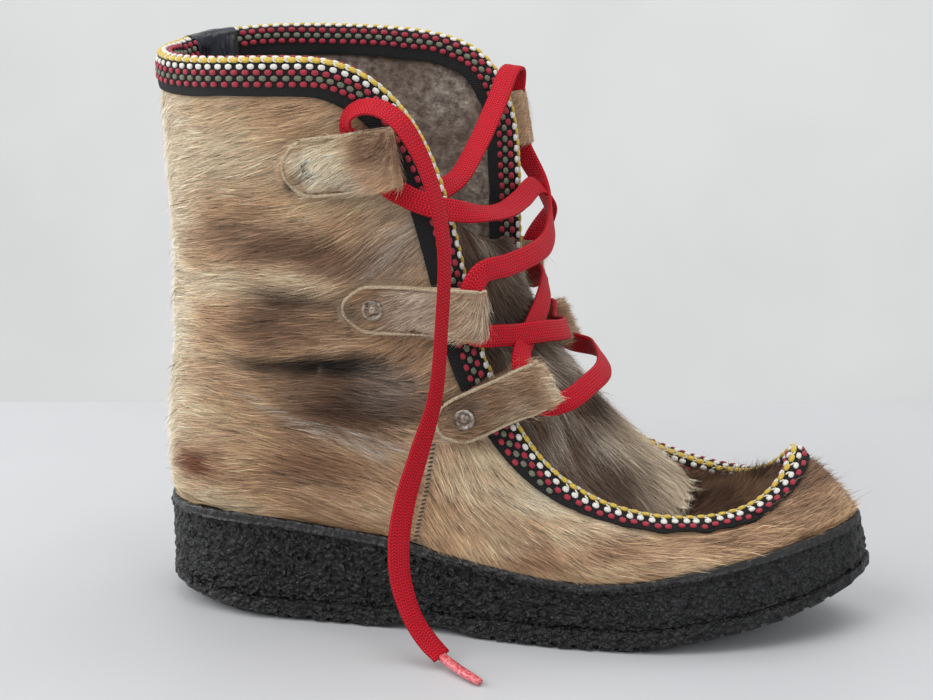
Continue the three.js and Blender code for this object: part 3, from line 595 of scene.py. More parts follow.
def hide_flow(points):
    """Which way the hair lies at points of the hide, from the two tables."""
    x, _, z = own(points).T
    rear = before_seam(x, z)
    flow = np.zeros((len(x), 3))
    for rows, mask in ((FLOW_REAR, rear), (FLOW_FRONT, ~rear)):
        total = np.zeros(len(x))
        way = np.zeros((len(x), 3))
        for fx, fz, dx, dz in rows:
            weight = 1 / (((x - fx) ** 2 + (z - fz) ** 2) + 60) ** 1.5
            way += weight[:, None] * np.array((dx, 0, dz))
            total += weight
        flow[mask] = (way / total[:, None])[mask]
    flow[:, 2] -= 1.4 * np.clip((14 - x) / 14, 0, 1) * (z > 60)
    return flow


# Smooth copies of the solids

def smooth_copy(name, node, levels, crease_over=None, crease=0.8):
    """A solid as a smooth mesh: its triangles joined into quads, and subdivided."""
    bm = bmesh.new()
    bm.from_mesh(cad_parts[node].data)
    bmesh.ops.remove_doubles(bm, verts=bm.verts, dist=0.01 * MM)
    bmesh.ops.join_triangles(
        bm, faces=bm.faces, angle_face_threshold=radians(60), angle_shape_threshold=radians(100)
    )
    if crease_over:
        layer = bm.edges.layers.float.new("crease_edge")
        for edge in bm.edges:
            if edge.is_manifold and edge.calc_face_angle(0) > radians(crease_over):
                edge[layer] = crease
    return subdivided(mesh_of(bm, name), name, levels)


def subdivided(mesh, name, levels):
    piece = new_object(name, mesh)
    if levels:
        smooth = piece.modifiers.new("smooth", "SUBSURF")
        smooth.levels = smooth.render_levels = levels
        graph = bpy.context.evaluated_depsgraph_get()
        piece.data = bpy.data.meshes.new_from_object(piece.evaluated_get(graph))
        piece.modifiers.clear()
        piece.data.name = name
    return piece


def coordinates(mesh):
    points = np.empty(len(mesh.vertices) * 3)
    mesh.vertices.foreach_get("co", points)
    return points.reshape(-1, 3)


def normals(mesh):
    ways = np.empty(len(mesh.vertices) * 3, np.float32)
    mesh.vertex_normals.foreach_get("vector", ways)
    return ways.reshape(-1, 3).astype(float)


def facings(mesh):
    return np.array([face.normal for face in mesh.polygons])


def move_points(mesh, points):
    mesh.vertices.foreach_set("co", np.asarray(points, np.float32).ravel())
    mesh.update()


def paint(mesh, tints, name="tint"):
    layer = mesh.color_attributes.new(name, "FLOAT_COLOR", "POINT")
    rgba = np.ones((len(tints), 4), np.float32)
    rgba[:, :3] = tints
    layer.data.foreach_set("color", rgba.ravel())


def tree_of(*pieces):
    """Tree of the triangles of some pieces, for the nearest point on them."""
    points, faces = [], []
    for piece in pieces:
        start = len(points)
        points += [v.co.copy() for v in piece.data.vertices]
        faces += [[start + i for i in face.vertices] for face in piece.data.polygons]
    return BVHTree.FromPolygons(points, faces)


# Creases on the hide, as lines of x, z with their half width and depth. A ridge has a depth below zero.
CREASES = [
    (OUTER, [(12, 111), (33, 108.5), (55, 108), (74, 107), (93, 105), (109, 102.5)], 5.5, 2.6),
    (OUTER, [(20, 143), (39, 136), (50, 131.5), (63, 128.5), (80, 121), (97, 114)], 6.0, 1.8),
    (OUTER, [(30, 122), (50, 119), (72, 114.5), (92, 110)], 5.5, -1.2),
    (OUTER, [(30, 99), (60, 97), (90, 93)], 6.5, -1.2),
    (OUTER, [(58, 90), (80, 80), (100, 72)], 5.0, 1.0),
    (OUTER, [(36, 158), (62, 153), (90, 152)], 8.0, 1.5),
    (OUTER, [(40, 70), (70, 66), (90, 60)], 7.0, 0.8),
    (OUTER, [(128, 54), (150, 50), (176, 46)], 6.0, -1.0),
    (OUTER, [(196, 43), (216, 44), (236, 49)], 3.5, 0.9),
    (INNER, [(14, 113), (40, 110), (66, 106), (92, 104)], 6.0, 2.2),
    (INNER, [(24, 144), (50, 136), (78, 128), (100, 118)], 6.5, 1.5),
    (INNER, [(34, 124), (60, 118), (86, 112)], 6.0, -1.1),
    (INNER, [(60, 90), (84, 80), (104, 70)], 6.0, 1.0),
    (INNER, [(120, 74), (130, 60), (138, 46)], 6.0, 1.0),
    (INNER, [(190, 44), (212, 44), (232, 48)], 4.0, 0.9),
]


def crease_depth(points):
    x, y, z = own(points).T
    depth = np.zeros(len(x))
    for side, line, half, deep in CREASES:
        apart = np.full(len(x), 1e9)
        for start, end in zip(line, line[1:]):
            apart = np.minimum(apart, from_line(x, z, start, end)[1])
        depth += deep * np.exp(-((apart / half) ** 2)) * np.clip(y * side / 10, 0, 1)
    return depth


HEEL_CENTRE, TOE_CENTRE = 45, 205


def faces_outwards(points, ways):
    """Above zero where a surface looks away from the foot."""
    p = own(points)
    middle = np.clip(p[:, 0], HEEL_CENTRE, TOE_CENTRE)
    return (p[:, 0] - middle) * ways[:, 0] + p[:, 1] * ways[:, 1]


def make_upper(skin, fleece):
    """The hide's outer face with its creases, and the fleece inside."""
    piece = smooth_copy("upper_hide", "upper", 2, crease_over=50)
    mesh = piece.data
    points, ways = coordinates(mesh), normals(mesh)
    outside = faces_outwards(points, ways) > 0
    depth = crease_depth(points) + 0.5 * mottle(own(points), 11, 2)
    pile = 0.5 * mottle(own(points), 3.2, 7) + 0.3 * mottle(own(points), 7, 8)
    shift = np.where(outside, -depth, pile) * MM
    move_points(mesh, points + ways * shift[:, None])
    paint(mesh, hide_tint(coordinates(mesh)))
    mesh.materials.append(skin)
    mesh.materials.append(fleece)
    centres = np.array([face.center for face in mesh.polygons])
    faces = facings(mesh)
    inside = faces_outwards(centres, faces) <= 0
    mesh.polygons.foreach_set("material_index", inside.astype(np.int32))
    return finished(piece, "hide", "upper"), centres, ~inside


# Hair

def scatter(mesh, count, seed, allowed=None):
    """Roots spread evenly over the faces of a mesh, and the normals there."""
    mesh.calc_loop_triangles()
    tris = np.empty(len(mesh.loop_triangles) * 3, np.int64)
    mesh.loop_triangles.foreach_get("vertices", tris)
    tris = tris.reshape(-1, 3)
    owner = np.empty(len(tris), np.int64)
    mesh.loop_triangles.foreach_get("polygon_index", owner)
    if allowed is not None:
        tris = tris[allowed[owner]]
    points = coordinates(mesh)
    a, b, c = points[tris[:, 0]], points[tris[:, 1]], points[tris[:, 2]]
    area = np.linalg.norm(np.cross(b - a, c - a), axis=1)
    rng = np.random.default_rng(seed)
    pick = rng.choice(len(tris), count, p=area / area.sum())
    s, t = rng.random((2, count))
    flip = s + t > 1
    s[flip], t[flip] = 1 - s[flip], 1 - t[flip]
    roots = a[pick] + (b - a)[pick] * s[:, None] + (c - a)[pick] * t[:, None]
    ways = normals(mesh)
    up = ways[tris[pick, 0]] * (1 - s - t)[:, None] + ways[tris[pick, 1]] * s[:, None]
    up += ways[tris[pick, 2]] * t[:, None]
    return roots, unit(up), rng


ROOT_SHADE, TIP_SHADE = np.array((0.56, 0.48, 0.41)), np.array((1.42, 1.42, 1.4))


def repeated(row, count):
    return np.tile(row, (count, 1))


def unit(rows):
    return rows / np.maximum(np.linalg.norm(rows, axis=1), 1e-9)[:, None]


def hairs(
    name, roots, up, flow, tree, rng, length, lift, width, tints, material, barred=None,
    ruffle=0.25, hug=0.45, joints=(1.0,), clear=1.3, contrast=0.22,
):
    """One mesh of flat tapering hairs that follow the surface under them, in millimetres.

    joints are the shares of a hair's length where it bends, hug is how closely it follows the surface,
    ruffle how far it turns from the flow, and clear how far it stays from what is barred.
    """
    count = len(roots)
    swirl = mottle(own(roots), 16, 11)[:, None] * ruffle + rng.normal(0, 0.1, (count, 1))
    flow = unit(flow)
    lying = flow - 0.9 * up * np.clip(np.sum(flow * up, axis=1), None, 0.6)[:, None]
    lying = unit(lying + np.cross(up, lying) * swirl)
    size = (length * rng.uniform(0.6, 1.15, count))[:, None] * MM
    high = lift * rng.gamma(2.2, 0.45, count)
    rows = [roots - up * 0.2 * MM]
    for part in joints:
        aim = roots + lying * size * part
        row = np.empty_like(aim)
        for i, point in enumerate(aim):
            near, way, _, _ = tree.find_nearest(point)
            off = (Vector(point) - near).dot(way)
            row[i] = near + way * max(high[i] * part ** 0.6 * MM, off * hug)
        rows.append(row)
    keep = np.ones(count, bool)
    if barred:
        for row in rows:
            for i in np.flatnonzero(keep):
                keep[i] = barred.find_nearest(row[i], clear * MM)[0] is None
    rows = [row[keep] for row in rows]
    left = keep.sum()
    side = unit(np.cross(rows[1] - rows[0], up[keep] + rng.normal(0, 0.35, (left, 3))))
    half = width * rng.uniform(0.6, 1.15, left)[:, None] / 2 * MM
    verts, shades = [], []
    for k, row in enumerate(rows[:-1]):
        thin = 1 - 0.3 * k
        verts += [row - side * half * thin, row + side * half * thin]
        shades += [ROOT_SHADE + (TIP_SHADE - ROOT_SHADE) * k / len(joints)] * 2
    verts = np.stack(verts + [rows[-1]], axis=1).reshape(-1, 3)
    per_hair = 2 * len(joints) + 1
    base = np.arange(left)[:, None] * per_hair
    quads = [base + (2 * k, 2 * k + 1, 2 * k + 3, 2 * k + 2) for k in range(len(joints) - 1)]
    ends = base + (per_hair - 3, per_hair - 2, per_hair - 1)
    mesh = bpy.data.meshes.new(name)
    mesh.from_pydata(verts, [], [row.tolist() for quad in quads for row in quad] + ends.tolist())
    streak = mottle(own(rows[0]), (9, 9, 1.6), 21) * 0.24 + rng.normal(0, contrast, left)
    shade = tints[keep] * (1 + streak)[:, None]
    rows_of = np.array(shades + [TIP_SHADE])
    paint(mesh, np.clip(shade[:, None, :] * rows_of[None], 0, 1).reshape(-1, 3))
    return finished(new_object(name, mesh, material), "hide")


# Coats of hair: ending of the name, how many times thinner it is sown, joints, share of the length,
# width in millimetres and share of the lift
COATS = [("", 1, (1.0,), 0.78, 0.23, 1.0), ("_guard", 5, (0.5, 1.0), 1.1, 0.26, 1.6)]
# Length and lift of the hair in millimetres, at places x from the heel to the toe
HAIR_LENGTHS = ((0, 14, 60, 120, 200, 235, 250), (6, 10, 14, 12, 10, 9, 6.5))
HAIR_LIFTS = ((-5, 10, 200, 240), (0.7, 0.7, 0.8, 1.3))


def fur_on_upper(upper, outside, tree, barred, material):
    """Short under hair and longer guard hair, a pair of meshes for each part of the hide."""
    x, y, z = own(np.array([face.center for face in upper.data.polygons])).T
    outer, low, front = y < 3, z < 95, x > 112
    groups = [
        ("fur_heel", 5, 56000, outer & low & ~front),
        ("fur_shaft", 6, 60000, outer & ~low),
        ("fur_vamp", 7, 52000, outer & low & front),
        ("fur_inner_shaft", 8, 44000, ~outer & ~(low & front)),
        ("fur_inner_vamp", 9, 26000, ~outer & low & front),
    ]
    for (name, seed, count, mask), (layer, coat) in itertools.product(groups, enumerate(COATS)):
        ending, part, joints, long, width, proud = coat
        roots, up, rng = scatter(upper.data, count // part, seed + 20 * layer, outside & mask)
        x, _, z = own(roots).T
        length = np.interp(x, *HAIR_LENGTHS) * long
        near_sole = z < np.interp(x, (0, 45, 160, 280), (46, 46, 32, 46))
        lift = np.interp(x, *HAIR_LIFTS) * proud * np.where(near_sole, 0.6, 1)
        hairs(
            name + ending, roots, up, hide_flow(roots), tree, rng, length, lift, width,
            hide_tint(roots), material, barred, hug=0.4 if "vamp" in name else 0.25,
            joints=joints, clear=1.6 + 0.6 * layer, contrast=0.27 + 0.15 * layer,
        )


TONGUE_BROWN, TONGUE_DARK, TONGUE_PALE = colour("6b5545"), colour("33261e"), colour("d8c8b0")
TONGUE_COATS = [
    ("fur_tongue", 31, 34000, (1.0,), 0.26),
    ("fur_tongue_guard", 35, 17000, (0.35, 0.7, 1.0), 0.28),
]


def make_tongue(skin, material, barred):
    """Tongue with dark tufted hair, pale towards its end and its far side."""
    piece = smooth_copy("tongue_hide", "tongue", 2)
    p = own(coordinates(piece.data))
    ground = repeated(colour("4d382a"), len(p))
    paint(piece.data, blend(ground, HAIR_TAN, np.clip((p[:, 0] - 170) / 40, 0, 1)))
    piece.data.materials.append(skin)
    finished(piece, "hide", "tongue")
    tree = tree_of(piece)
    faces = facings(piece.data)
    facing = (faces[:, 2] + faces[:, 0] > 0.2) | (faces[:, 0] > 0.25)
    for name, seed, number, joints, width in TONGUE_COATS:
        roots, up, rng = scatter(piece.data, number, seed, facing)
        where = own(roots)
        flow = repeated((0.72, 0.0, -0.7), len(roots))
        flow[:, 1] = where[:, 1] * 0.012
        patch = mottle(where, (16, 10, 16), 4)
        fine = mottle(where, (5, 3, 5), 14)
        x, y = where[:, 0], where[:, 1]
        tints = repeated(TONGUE_BROWN, len(roots))
        tints = blend(tints, HAIR_SILVER, np.clip(patch + 0.7 * fine, 0, 1) * 0.85)
        tints = blend(tints, TONGUE_DARK, np.clip(-patch + 0.2, 0, 1) * 0.9)
        lower = np.clip((x - 168) / 24 + (y + 10) / 24 + 0.4 * patch, 0, 1)
        tints = blend(tints, TONGUE_PALE, lower * np.clip((x - 150) / 20, 0, 1) * 0.85)
        length = np.interp(x, (135, 165, 185, 200), (11, 15, 22, 24))
        lift = np.interp(x, (135, 170, 205), (1.4, 1.7, 1.3))
        if len(joints) == 1:
            length, lift = length * 0.5, lift * 0.8
        hairs(
            name, roots, up, flow, tree, rng, length, lift, width, tints, material, barred, ruffle=0.4,
            joints=joints, clear=0.7, contrast=0.32,
        )


def make_plug(skin, material, barred):
    """Insert at the top of the toe, with short dark hair."""
    piece = smooth_copy("toe_plug_hide", "toe_plug", 2)
    paint(piece.data, repeated(HAIR_BROWN, len(piece.data.vertices)))
    piece.data.materials.append(skin)
    finished(piece, "hide", "toe_plug")
    tree = tree_of(piece)
    faces = facings(piece.data)
    roots, up, rng = scatter(piece.data, 20000, 33, faces[:, 2] - faces[:, 0] > 0.3)
    dark = mottle(own(roots), (9, 9, 9), 6)
    tints = blend(repeated(colour("503a2c"), len(roots)), colour("94765c"), np.clip(dark + 0.2, 0, 1))
    flow = repeated((0.8, 0.0, 0.4), len(roots))
    length = np.interp(own(roots)[:, 0], (180, 212), (11, 7))
    hairs(
        "fur_toe_plug", roots, up, flow, tree, rng, length, 2.2, 0.26, tints, material, barred, ruffle=0.5
    )


# Edge of the upper, as rows of x, y, z on the outer side and on the inner side
RIM = [
    ((1.5, 0, 221.5), (1.5, 0, 221.5)),
    ((4, 16.5, 221.5), (4, 16.5, 222.3)),
    ((13, 31, 221.3), (13, 31, 223.8)),
    ((31.5, 43, 222.2), (32.5, 43, 225.3)),
    ((54, 47.5, 223.3), (58, 47.5, 225.4)),
    ((75.5, 46.5, 222.6), (83.5, 46.5, 224.7)),
    ((91, 43.5, 215.5), (105, 44, 222.2)),
    ((104.5, 41.5, 201), (121.5, 41, 214.6)),
    ((114.2, 39, 179.5), (131.8, 38.6, 195.5)),
    ((121.8, 36.5, 149.5), (134.7, 36.8, 168)),
    ((129, 35.8, 114.3), (135.2, 36.2, 138)),
    ((142.2, 37.4, 87), (141.5, 36.5, 107.5)),
    ((157, 38.6, 68.2), (156, 37.2, 82.6)),
    ((177.3, 38.2, 55.4), (175.5, 36.8, 65.6)),
    ((199, 34.8, 49.4), (197, 33, 56.4)),
    ((218, 29, 48.2), (216, 27.8, 52.4)),
    ((232.5, 22.5, 50.7), (231.3, 21.3, 52.2)),
    ((242.3, 15, 56.2), (241.6, 14, 57.2)),
    ((248.3, 7.6, 64), (248.2, 7.4, 64.4)),
    ((250.8, 0, 69.8), (250.8, 0, 69.8)),
]


def rim_line():
    """Closed line of the edge, from the heel along the outer side to the toe and back, at even steps."""
    rows = [at(x, -y, z) for (x, y, z), _ in RIM]
    rows += [at(x, y, z) for _, (x, y, z) in reversed(RIM[1:-1])]
    n, steps = len(rows), 10
    line = []
    for k in range(n):
        a, b, c, d = (rows[(k + j) % n] for j in (-1, 0, 1, 2))
        for i in range(steps):
            t = i / steps
            bend = (2 * a - 5 * b + 4 * c - d) * t * t + (3 * b - a - 3 * c + d) * t ** 3
            line.append(0.5 * (2 * b + (c - a) * t + bend))
    return line


def even(line, step):
    """A closed line at even steps of about the given length."""
    ring = line + line[:1]
    pace = np.concatenate([[0], np.cumsum([(b - a).length for a, b in zip(ring, ring[1:])])])
    count = round(pace[-1] / step)
    places = np.linspace(0, pace[-1], count, endpoint=False)
    ring = np.array(ring)
    return [Vector([np.interp(s, pace, ring[:, k]) for k in range(3)]) for s in places]


# Half of the way over the edge, and where the edge levels off over the vamp and where it turns at the toe
FOLD = (WALL + 2 * BRAID_FACE) / 2
THROAT_FOOT, TOE_TIP = 170, 240


def leg_length(point, side=OUTER):
    """How far the braid reaches down from the edge: less at the toe, and less inside."""
    reach = float(np.interp(own([point])[0][0], (118, 175), (13.0, 6.6)))
    return reach if side == OUTER else min(reach, 10.0)


class Braid:
    """Places on the braid: along the edge, and across it from the fold's middle, outer side below zero."""

    def __init__(self, upper, cover):
        self.upper, self.cover = upper, cover

    def frame(self, line, k):
        """A point of the edge, the way along it, out of the hide and from the edge into the hide."""
        point = line[k]
        along = (line[(k + 1) % len(line)] - line[k - 1]).normalized()
        p = own([point])[0]
        # The hide lies below the edge at the collar and the toe, and behind it at the throat
        into = Vector((-0.5 if p[0] < THROAT_FOOT else 0, 0, -1))
        middle = at(min(max(p[0], HEEL_CENTRE), TOE_CENTRE), 0, p[2])
        away = (point - middle).normalized()
        near, _, _, _ = self.upper.find_nearest(point)
        probe = near + away * 1.0 * MM
        down = along.cross(away).normalized()
        if down.dot(into) < 0:
            down = -down
        if p[0] > TOE_CENTRE:
            down = along.cross(Vector((0, 0, 1)).cross(along)).normalized()
            down = Vector((0.35, 0, -1)).normalized() if p[0] > TOE_TIP else down
            down = -down if down.z > 0 else down
        _, normal, _, _ = self.upper.find_nearest(probe + down * 4 * MM)
        if normal.dot(away) < 0:
            normal = -normal
        down = normal.cross(along).normalized()
        if down.dot(into) < 0:
            down = -down
        return point, along, normal, down

    def place(self, frame_here, across):
        """Point on the braid's face and the way out of it."""
        point, _, normal, down = frame_here
        core = point - normal * (WALL / 2) * MM
        if abs(across) <= FOLD:
            turn = across / FOLD * radians(70)
            way = (-down * cos(turn) - normal * sin(turn)).normalized()
            guess = core + (-down) * (BRAID_FACE * 0.75) * MM - normal * across * MM
        else:
            side = 1 if across < 0 else -1
            reach = abs(across) - FOLD
            way = normal * side
            guess = core + normal * side * FOLD * MM + down * reach * MM
        near, found, _, _ = self.cover.find_nearest(guess)
        if found.dot(way) < 0.2:
            return guess, way
        return near, (found + way).normalized()


# Steps between rows, and along a row, where a dot lies on each second step
ROW_PITCH = HALF_PITCH = 2.2
# Rows of dots on each side of the yellow middle, as yarn and how many rows from the middle
DOT_ROWS = [("white", 1), ("red", 2), ("grey", 3), ("red", 4)]
# Half sizes of the raised stitches: along the band, across it and out of it
MIDDLE_STITCH, DOT_STITCH, CHAIN_STITCH = (1.85, 1.2, 0.8), (1.45, 1.1, 0.62), (1.2, 0.38, 0.42)


def pattern_shift(point):
    """How far the yellow middle lies from the fold, towards the boot's outer face."""
    x, y, _ = own([point])[0]
    near = float(np.interp(x, (60, 95, 120, 140, 165, 250), (-2.5, -1.8, -0.6, -1.2, -3.2, -3.2)))
    far = -0.8
    part = min(max(0.5 - y / 14, 0), 1)
    return far + (near - far) * part


def make_braid(upper_tree, ground, yarns):
    """Black band with its rows of coloured stitches, folded over the edge all round."""
    cover = smooth_copy("braid_cover", "edge_braid", 1)
    braid = Braid(upper_tree, tree_of(cover))
    bpy.data.objects.remove(cover)
    line = even(rim_line(), HALF_PITCH * MM)
    frames = [braid.frame(line, k) for k in range(len(line))]
    make_braid_ground(braid, line, frames, ground)
    dots = {name: [] for name in yarns}
    for yarn, steps in [("yellow", 0)] + [(y, s * side) for y, s in DOT_ROWS for side in (-1, 1)]:
        size = MIDDLE_STITCH if yarn == "yellow" else DOT_STITCH
        for k in range(0, len(line) - 1, 2):
            here = (k + (abs(steps) % 2)) % len(line)
            across = steps * ROW_PITCH + pattern_shift(line[here])
            side = OUTER if across < 0 else INNER
            if abs(across) > leg_length(line[here], side) + FOLD - 2.0:
                continue
            point, way = braid.place(frames[here], across)
            dots[yarn].append(dot_matrix(point, frames[here][1], way, size))
    for here in range(1, len(line), 2):
        for side in (-1, 1):
            across = pattern_shift(line[here]) + side * 0.6
            point, way = braid.place(frames[here], across)
            dots["zigzag"].append(dot_matrix(point, frames[here][1], way, CHAIN_STITCH, side * 0.5))
    for yarn, matrices in dots.items():
        name = f"braid_{yarn}"
        finished(new_object(name, stamped(name, matrices), yarns[yarn]), "braid")


def dot_matrix(point, along, way, size, turn=0.0):
    """Where one raised stitch lies: a flattened pillow of yarn."""
    side = way.cross(along).normalized()
    along = side.cross(way)
    along, side = along * cos(turn) + side * sin(turn), side * cos(turn) - along * sin(turn)
    matrix = Matrix((along * size[0] * MM, side * size[1] * MM, way * size[2] * MM)).transposed().to_4x4()
    matrix.translation = point + way * 0.12 * MM
    return matrix


def stamped(name, matrices):
    """One mesh of many small pillows with squarish outlines, one at each matrix."""
    squareness = 0.8
    bm = bmesh.new()
    bmesh.ops.create_uvsphere(bm, u_segments=8, v_segments=5, radius=1)
    shape = np.array([(*v.co, 1) for v in bm.verts])
    shape[:, :2] = np.sign(shape[:, :2]) * np.abs(shape[:, :2]) ** squareness
    faces = [[v.index for v in face.verts] for face in bm.faces]
    bm.free()
    points = np.concatenate([shape @ np.array(matrix).T for matrix in matrices])[:, :3]
    step = len(shape)
    mesh = bpy.data.meshes.new(name)
    copies = range(0, len(matrices) * step, step)
    mesh.from_pydata(points, [], [[start + i for i in face] for start in copies for face in faces])
    return mesh


def make_braid_ground(braid, line, frames, material):
    """The black band itself, laid over the edge."""
    columns = 19
    bm = bmesh.new()
    uv = bm.loops.layers.uv.new("band")
    rings = []
    for k, here in enumerate(frames):
        spots = np.linspace(-leg_length(line[k]) - FOLD, leg_length(line[k], INNER) + FOLD, columns)
        ring = []
        for across in spots:
            point, _ = braid.place(here, across)
            ring.append(bm.verts.new(point))
        rings.append((ring, spots))
    n = len(rings)
    for k in range(n):
        (a, sa), (b, sb) = rings[k], rings[(k + 1) % n]
        for i in range(columns - 1):
            face = bm.faces.new((a[i], a[i + 1], b[i + 1], b[i]))
            corners = ((k, sa[i]), (k, sa[i + 1]), (k + 1, sb[i + 1]), (k + 1, sb[i]))
            for loop, (step, across) in zip(face.loops, corners):
                loop[uv].uv = (step * HALF_PITCH, across)
    bmesh.ops.smooth_vert(bm, verts=bm.verts, factor=0.4, use_axis_x=True, use_axis_y=True, use_axis_z=True)
    bmesh.ops.recalc_face_normals(bm, faces=bm.faces)
    piece = new_object("braid_band", mesh_of(bm, "braid_band"), material)
    wall = piece.modifiers.new("thickness", "SOLIDIFY")
    wall.thickness = 1.1 * MM
    wall.offset = -1
    return finished(piece, "braid", "edge_braid")


def make_collar_wrap(tape):
    """Glossy tape round the braid at the back of the collar, a little crumpled."""
    piece = smooth_copy("collar_wrap", "collar_tape", 3)
    points, ways = coordinates(piece.data), normals(piece.data)
    crumple = 0.35 * mottle(own(points), (5, 5, 9), 61) + 0.15 * mottle(own(points), 2.5, 62)
    move_points(piece.data, points + ways * (crumple * MM)[:, None])
    piece.data.materials.append(tape)
    finished(piece, "tape", "collar_tape")


# Loops, rivets and laces

def main_ways(points):
    """Long, middle and short axis of a solid's points, the long one towards the toe."""
    _, ways = np.linalg.eigh(np.cov((points - points.mean(axis=0)).T))
    return ways[:, 2] * (1 if ways[0, 2] > 0 else -1), ways[:, 1], ways[:, 0]


# Lumps on a loop as x, z, half width and height, and tones of its hair as x, z, half width, colour
# and strength
LOOP_LUMPS = {
    "lateral_top": ((73, 187, 6.5, 2.0), (65, 181, 4.5, -1.6)),
    "lateral_low": ((121.5, 92.7, 6, 0.8),),
}
LOOP_TONES = {
    "lateral_top": (
        (76, 187, 11, HAIR_CREAM, 1.0), (65, 180, 5, HAIR_DARK, 0.9), (96, 195, 9, HAIR_BROWN, 0.9),
        (86, 178, 8, HAIR_SILVER, 0.7),
    ),
    "lateral_middle": ((84, 131, 6, HAIR_DARK, 0.7), (112, 134, 14, HAIR_SILVER, 0.6)),
    "lateral_low": (
        (122, 93, 8, HAIR_DARK, 0.6), (140, 97, 12, HAIR_BROWN, 0.5), (158, 106, 7, HAIR_LIGHT, 0.9),
    ),
}
# How much of a loop's front is left, and how far forward the pale line on its top and on its foot reaches
LOOP_TRIM = {"medial_middle": 0.72, "medial_low": 0.55}
RIM_START = {
    "lateral_top": 0.1, "lateral_middle": 0.85, "lateral_low": 0.85,
    "medial_top": 0.8, "medial_middle": 0.7, "medial_low": 0.7,
}
RIM_END = {"lateral_low": 0.8}
LOOPS = ["lateral_top", "lateral_middle", "lateral_low", "medial_top", "medial_middle", "medial_low"]


LOOP_COATS = [("", 1.0, (1.0,), 6.0, 0.6), ("_guard", 0.28, (0.5, 1.0), 9.0, 1.5)]


def make_loops(skin, cut, material):
    """Hide loops with hair on their faces and pale cut edges."""
    made = []
    for seed, name in enumerate(LOOPS):
        piece = smooth_copy(f"loop_{name}_hide", f"loop_{name}", 2, crease_over=60)
        mesh = piece.data
        points = trimmed(name, coordinates(mesh))
        ways = normals(mesh)
        side = side_of(name)
        p = own(points)
        shift = np.zeros(len(p))
        for px, pz, half, high in LOOP_LUMPS.get(name, ()):
            apart = np.hypot(p[:, 0] - px, p[:, 2] - pz) / half
            shift += high * np.exp(-apart ** 2) * (ways[:, 1] * side > 0.2)
        points = points + ways * (shift * MM)[:, None]
        move_points(mesh, points)
        shade = HAIR_TAN if "top" in name else (np.array(HAIR_BROWN) + HAIR_TAN) / 2
        paint(mesh, repeated(shade, len(points)))
        mesh.materials.append(skin)
        mesh.materials.append(cut)
        faces = facings(mesh)
        long_way, across, _ = main_ways(points)
        edge = (np.abs(faces @ across) > 0.6) | (faces @ long_way < -0.6)
        mesh.polygons.foreach_set("material_index", edge.astype(np.int32))
        finished(piece, "hide", f"loop_{name}")
        tree = tree_of(piece)
        make_rim(name, piece, tree, cut)
        number = 11000 if side == OUTER else 7000
        for ending, part, joints, length, lift in LOOP_COATS:
            roots, up, rng = scatter(mesh, int(number * part), 50 + seed + len(joints) * 10, ~edge)
            where = own(roots)
            fold = np.clip(((roots - points.mean(axis=0)) @ long_way) / MM / 12 - 0.6, 0, 1)
            flow = repeated((0.9, 0.0, 0.4) if name.endswith("low") else (-0.9, 0.0, -0.35), len(roots))
            flow = flow + fold[:, None] * np.array((1.0, 0, -0.35))
            light = mottle(where, 7, seed)
            tints = blend(repeated(shade, len(roots)), HAIR_LIGHT, np.clip(light + 0.35, 0, 1) * 0.8)
            tints = blend(tints, HAIR_SILVER, fold * np.clip(light + 0.6, 0, 1) * 0.6)
            for px, pz, half, tone, strength in LOOP_TONES.get(name, ()):
                apart = np.hypot(where[:, 0] - px, where[:, 2] - pz) / half
                tints = blend(tints, tone, strength * np.clip(1.4 - apart, 0, 1))
            hairs(
                f"fur_loop_{name}{ending}", roots, up, flow, tree, rng, length, lift, 0.22, tints, material,
                ruffle=0.5, joints=joints,
            )
        made.append(piece)
    return made


def trimmed(name, points):
    """Points of a loop with its front drawn in, where the tongue hides it in life."""
    middle = points.mean(axis=0)
    long_way = main_ways(points)[0]
    reach = (points - middle) @ long_way
    part = LOOP_TRIM.get(name, 1)
    return points - np.outer(np.clip(reach, 0, None) * (1 - part), long_way)


def make_rim(name, piece, tree, material):
    """Pale cut edge of a loop, along its top, round its rear end and back along its foot."""
    points = coordinates(piece.data)
    middle = points.mean(axis=0)
    long_way, across, out = main_ways(points)
    side = side_of(name)
    across = across * (1 if across[2] > 0 else -1)
    out = out * (1 if out[1] * side > 0 else -1)
    reach, width = (points - middle) @ long_way, (points - middle) @ across
    rear, front, half = reach.min(), reach.max(), np.abs(width).max()
    stops = [(front * s, half) for s in (RIM_START[name], 0.3, 0, -0.3)]
    stops += [(rear + half * 0.95 * (1 - cos(t)), half * sin(t)) for t in np.linspace(pi / 2, -pi / 2, 9)]
    stops += [(front * s, -half) for s in (-0.3, 0, 0.3, 0.7) if s < RIM_END.get(name, -0.2)]
    rows = []
    for along, up in stops:
        guess = middle + long_way * along + across * up * 1.02 + out * 3 * MM
        near, way, _, _ = tree.find_nearest(guess)
        rows.append((near + way * 0.1 * MM, way))
    line = [(tuple(own([p])[0]), tuple(w)) for p, w in rows]
    mesh, _ = flat_band(f"rim_{name}", line, 1.3, 1.1, step=1.6, taper=0.4)
    mesh.materials.append(material)
    finished(new_object(f"rim_{name}", mesh), "hide")


def disc_frame(node):
    """Middle of a rivet's foot and the way its axis points, read from its solid."""
    points = coordinates(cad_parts[node].data)
    middle = points.mean(axis=0)
    axis = Vector(main_ways(points)[2])
    side = side_of(node)
    if axis.y * side < 0:
        axis = -axis
    foot = min((points - middle) @ np.array(axis))
    return Vector(middle) + axis * foot, axis


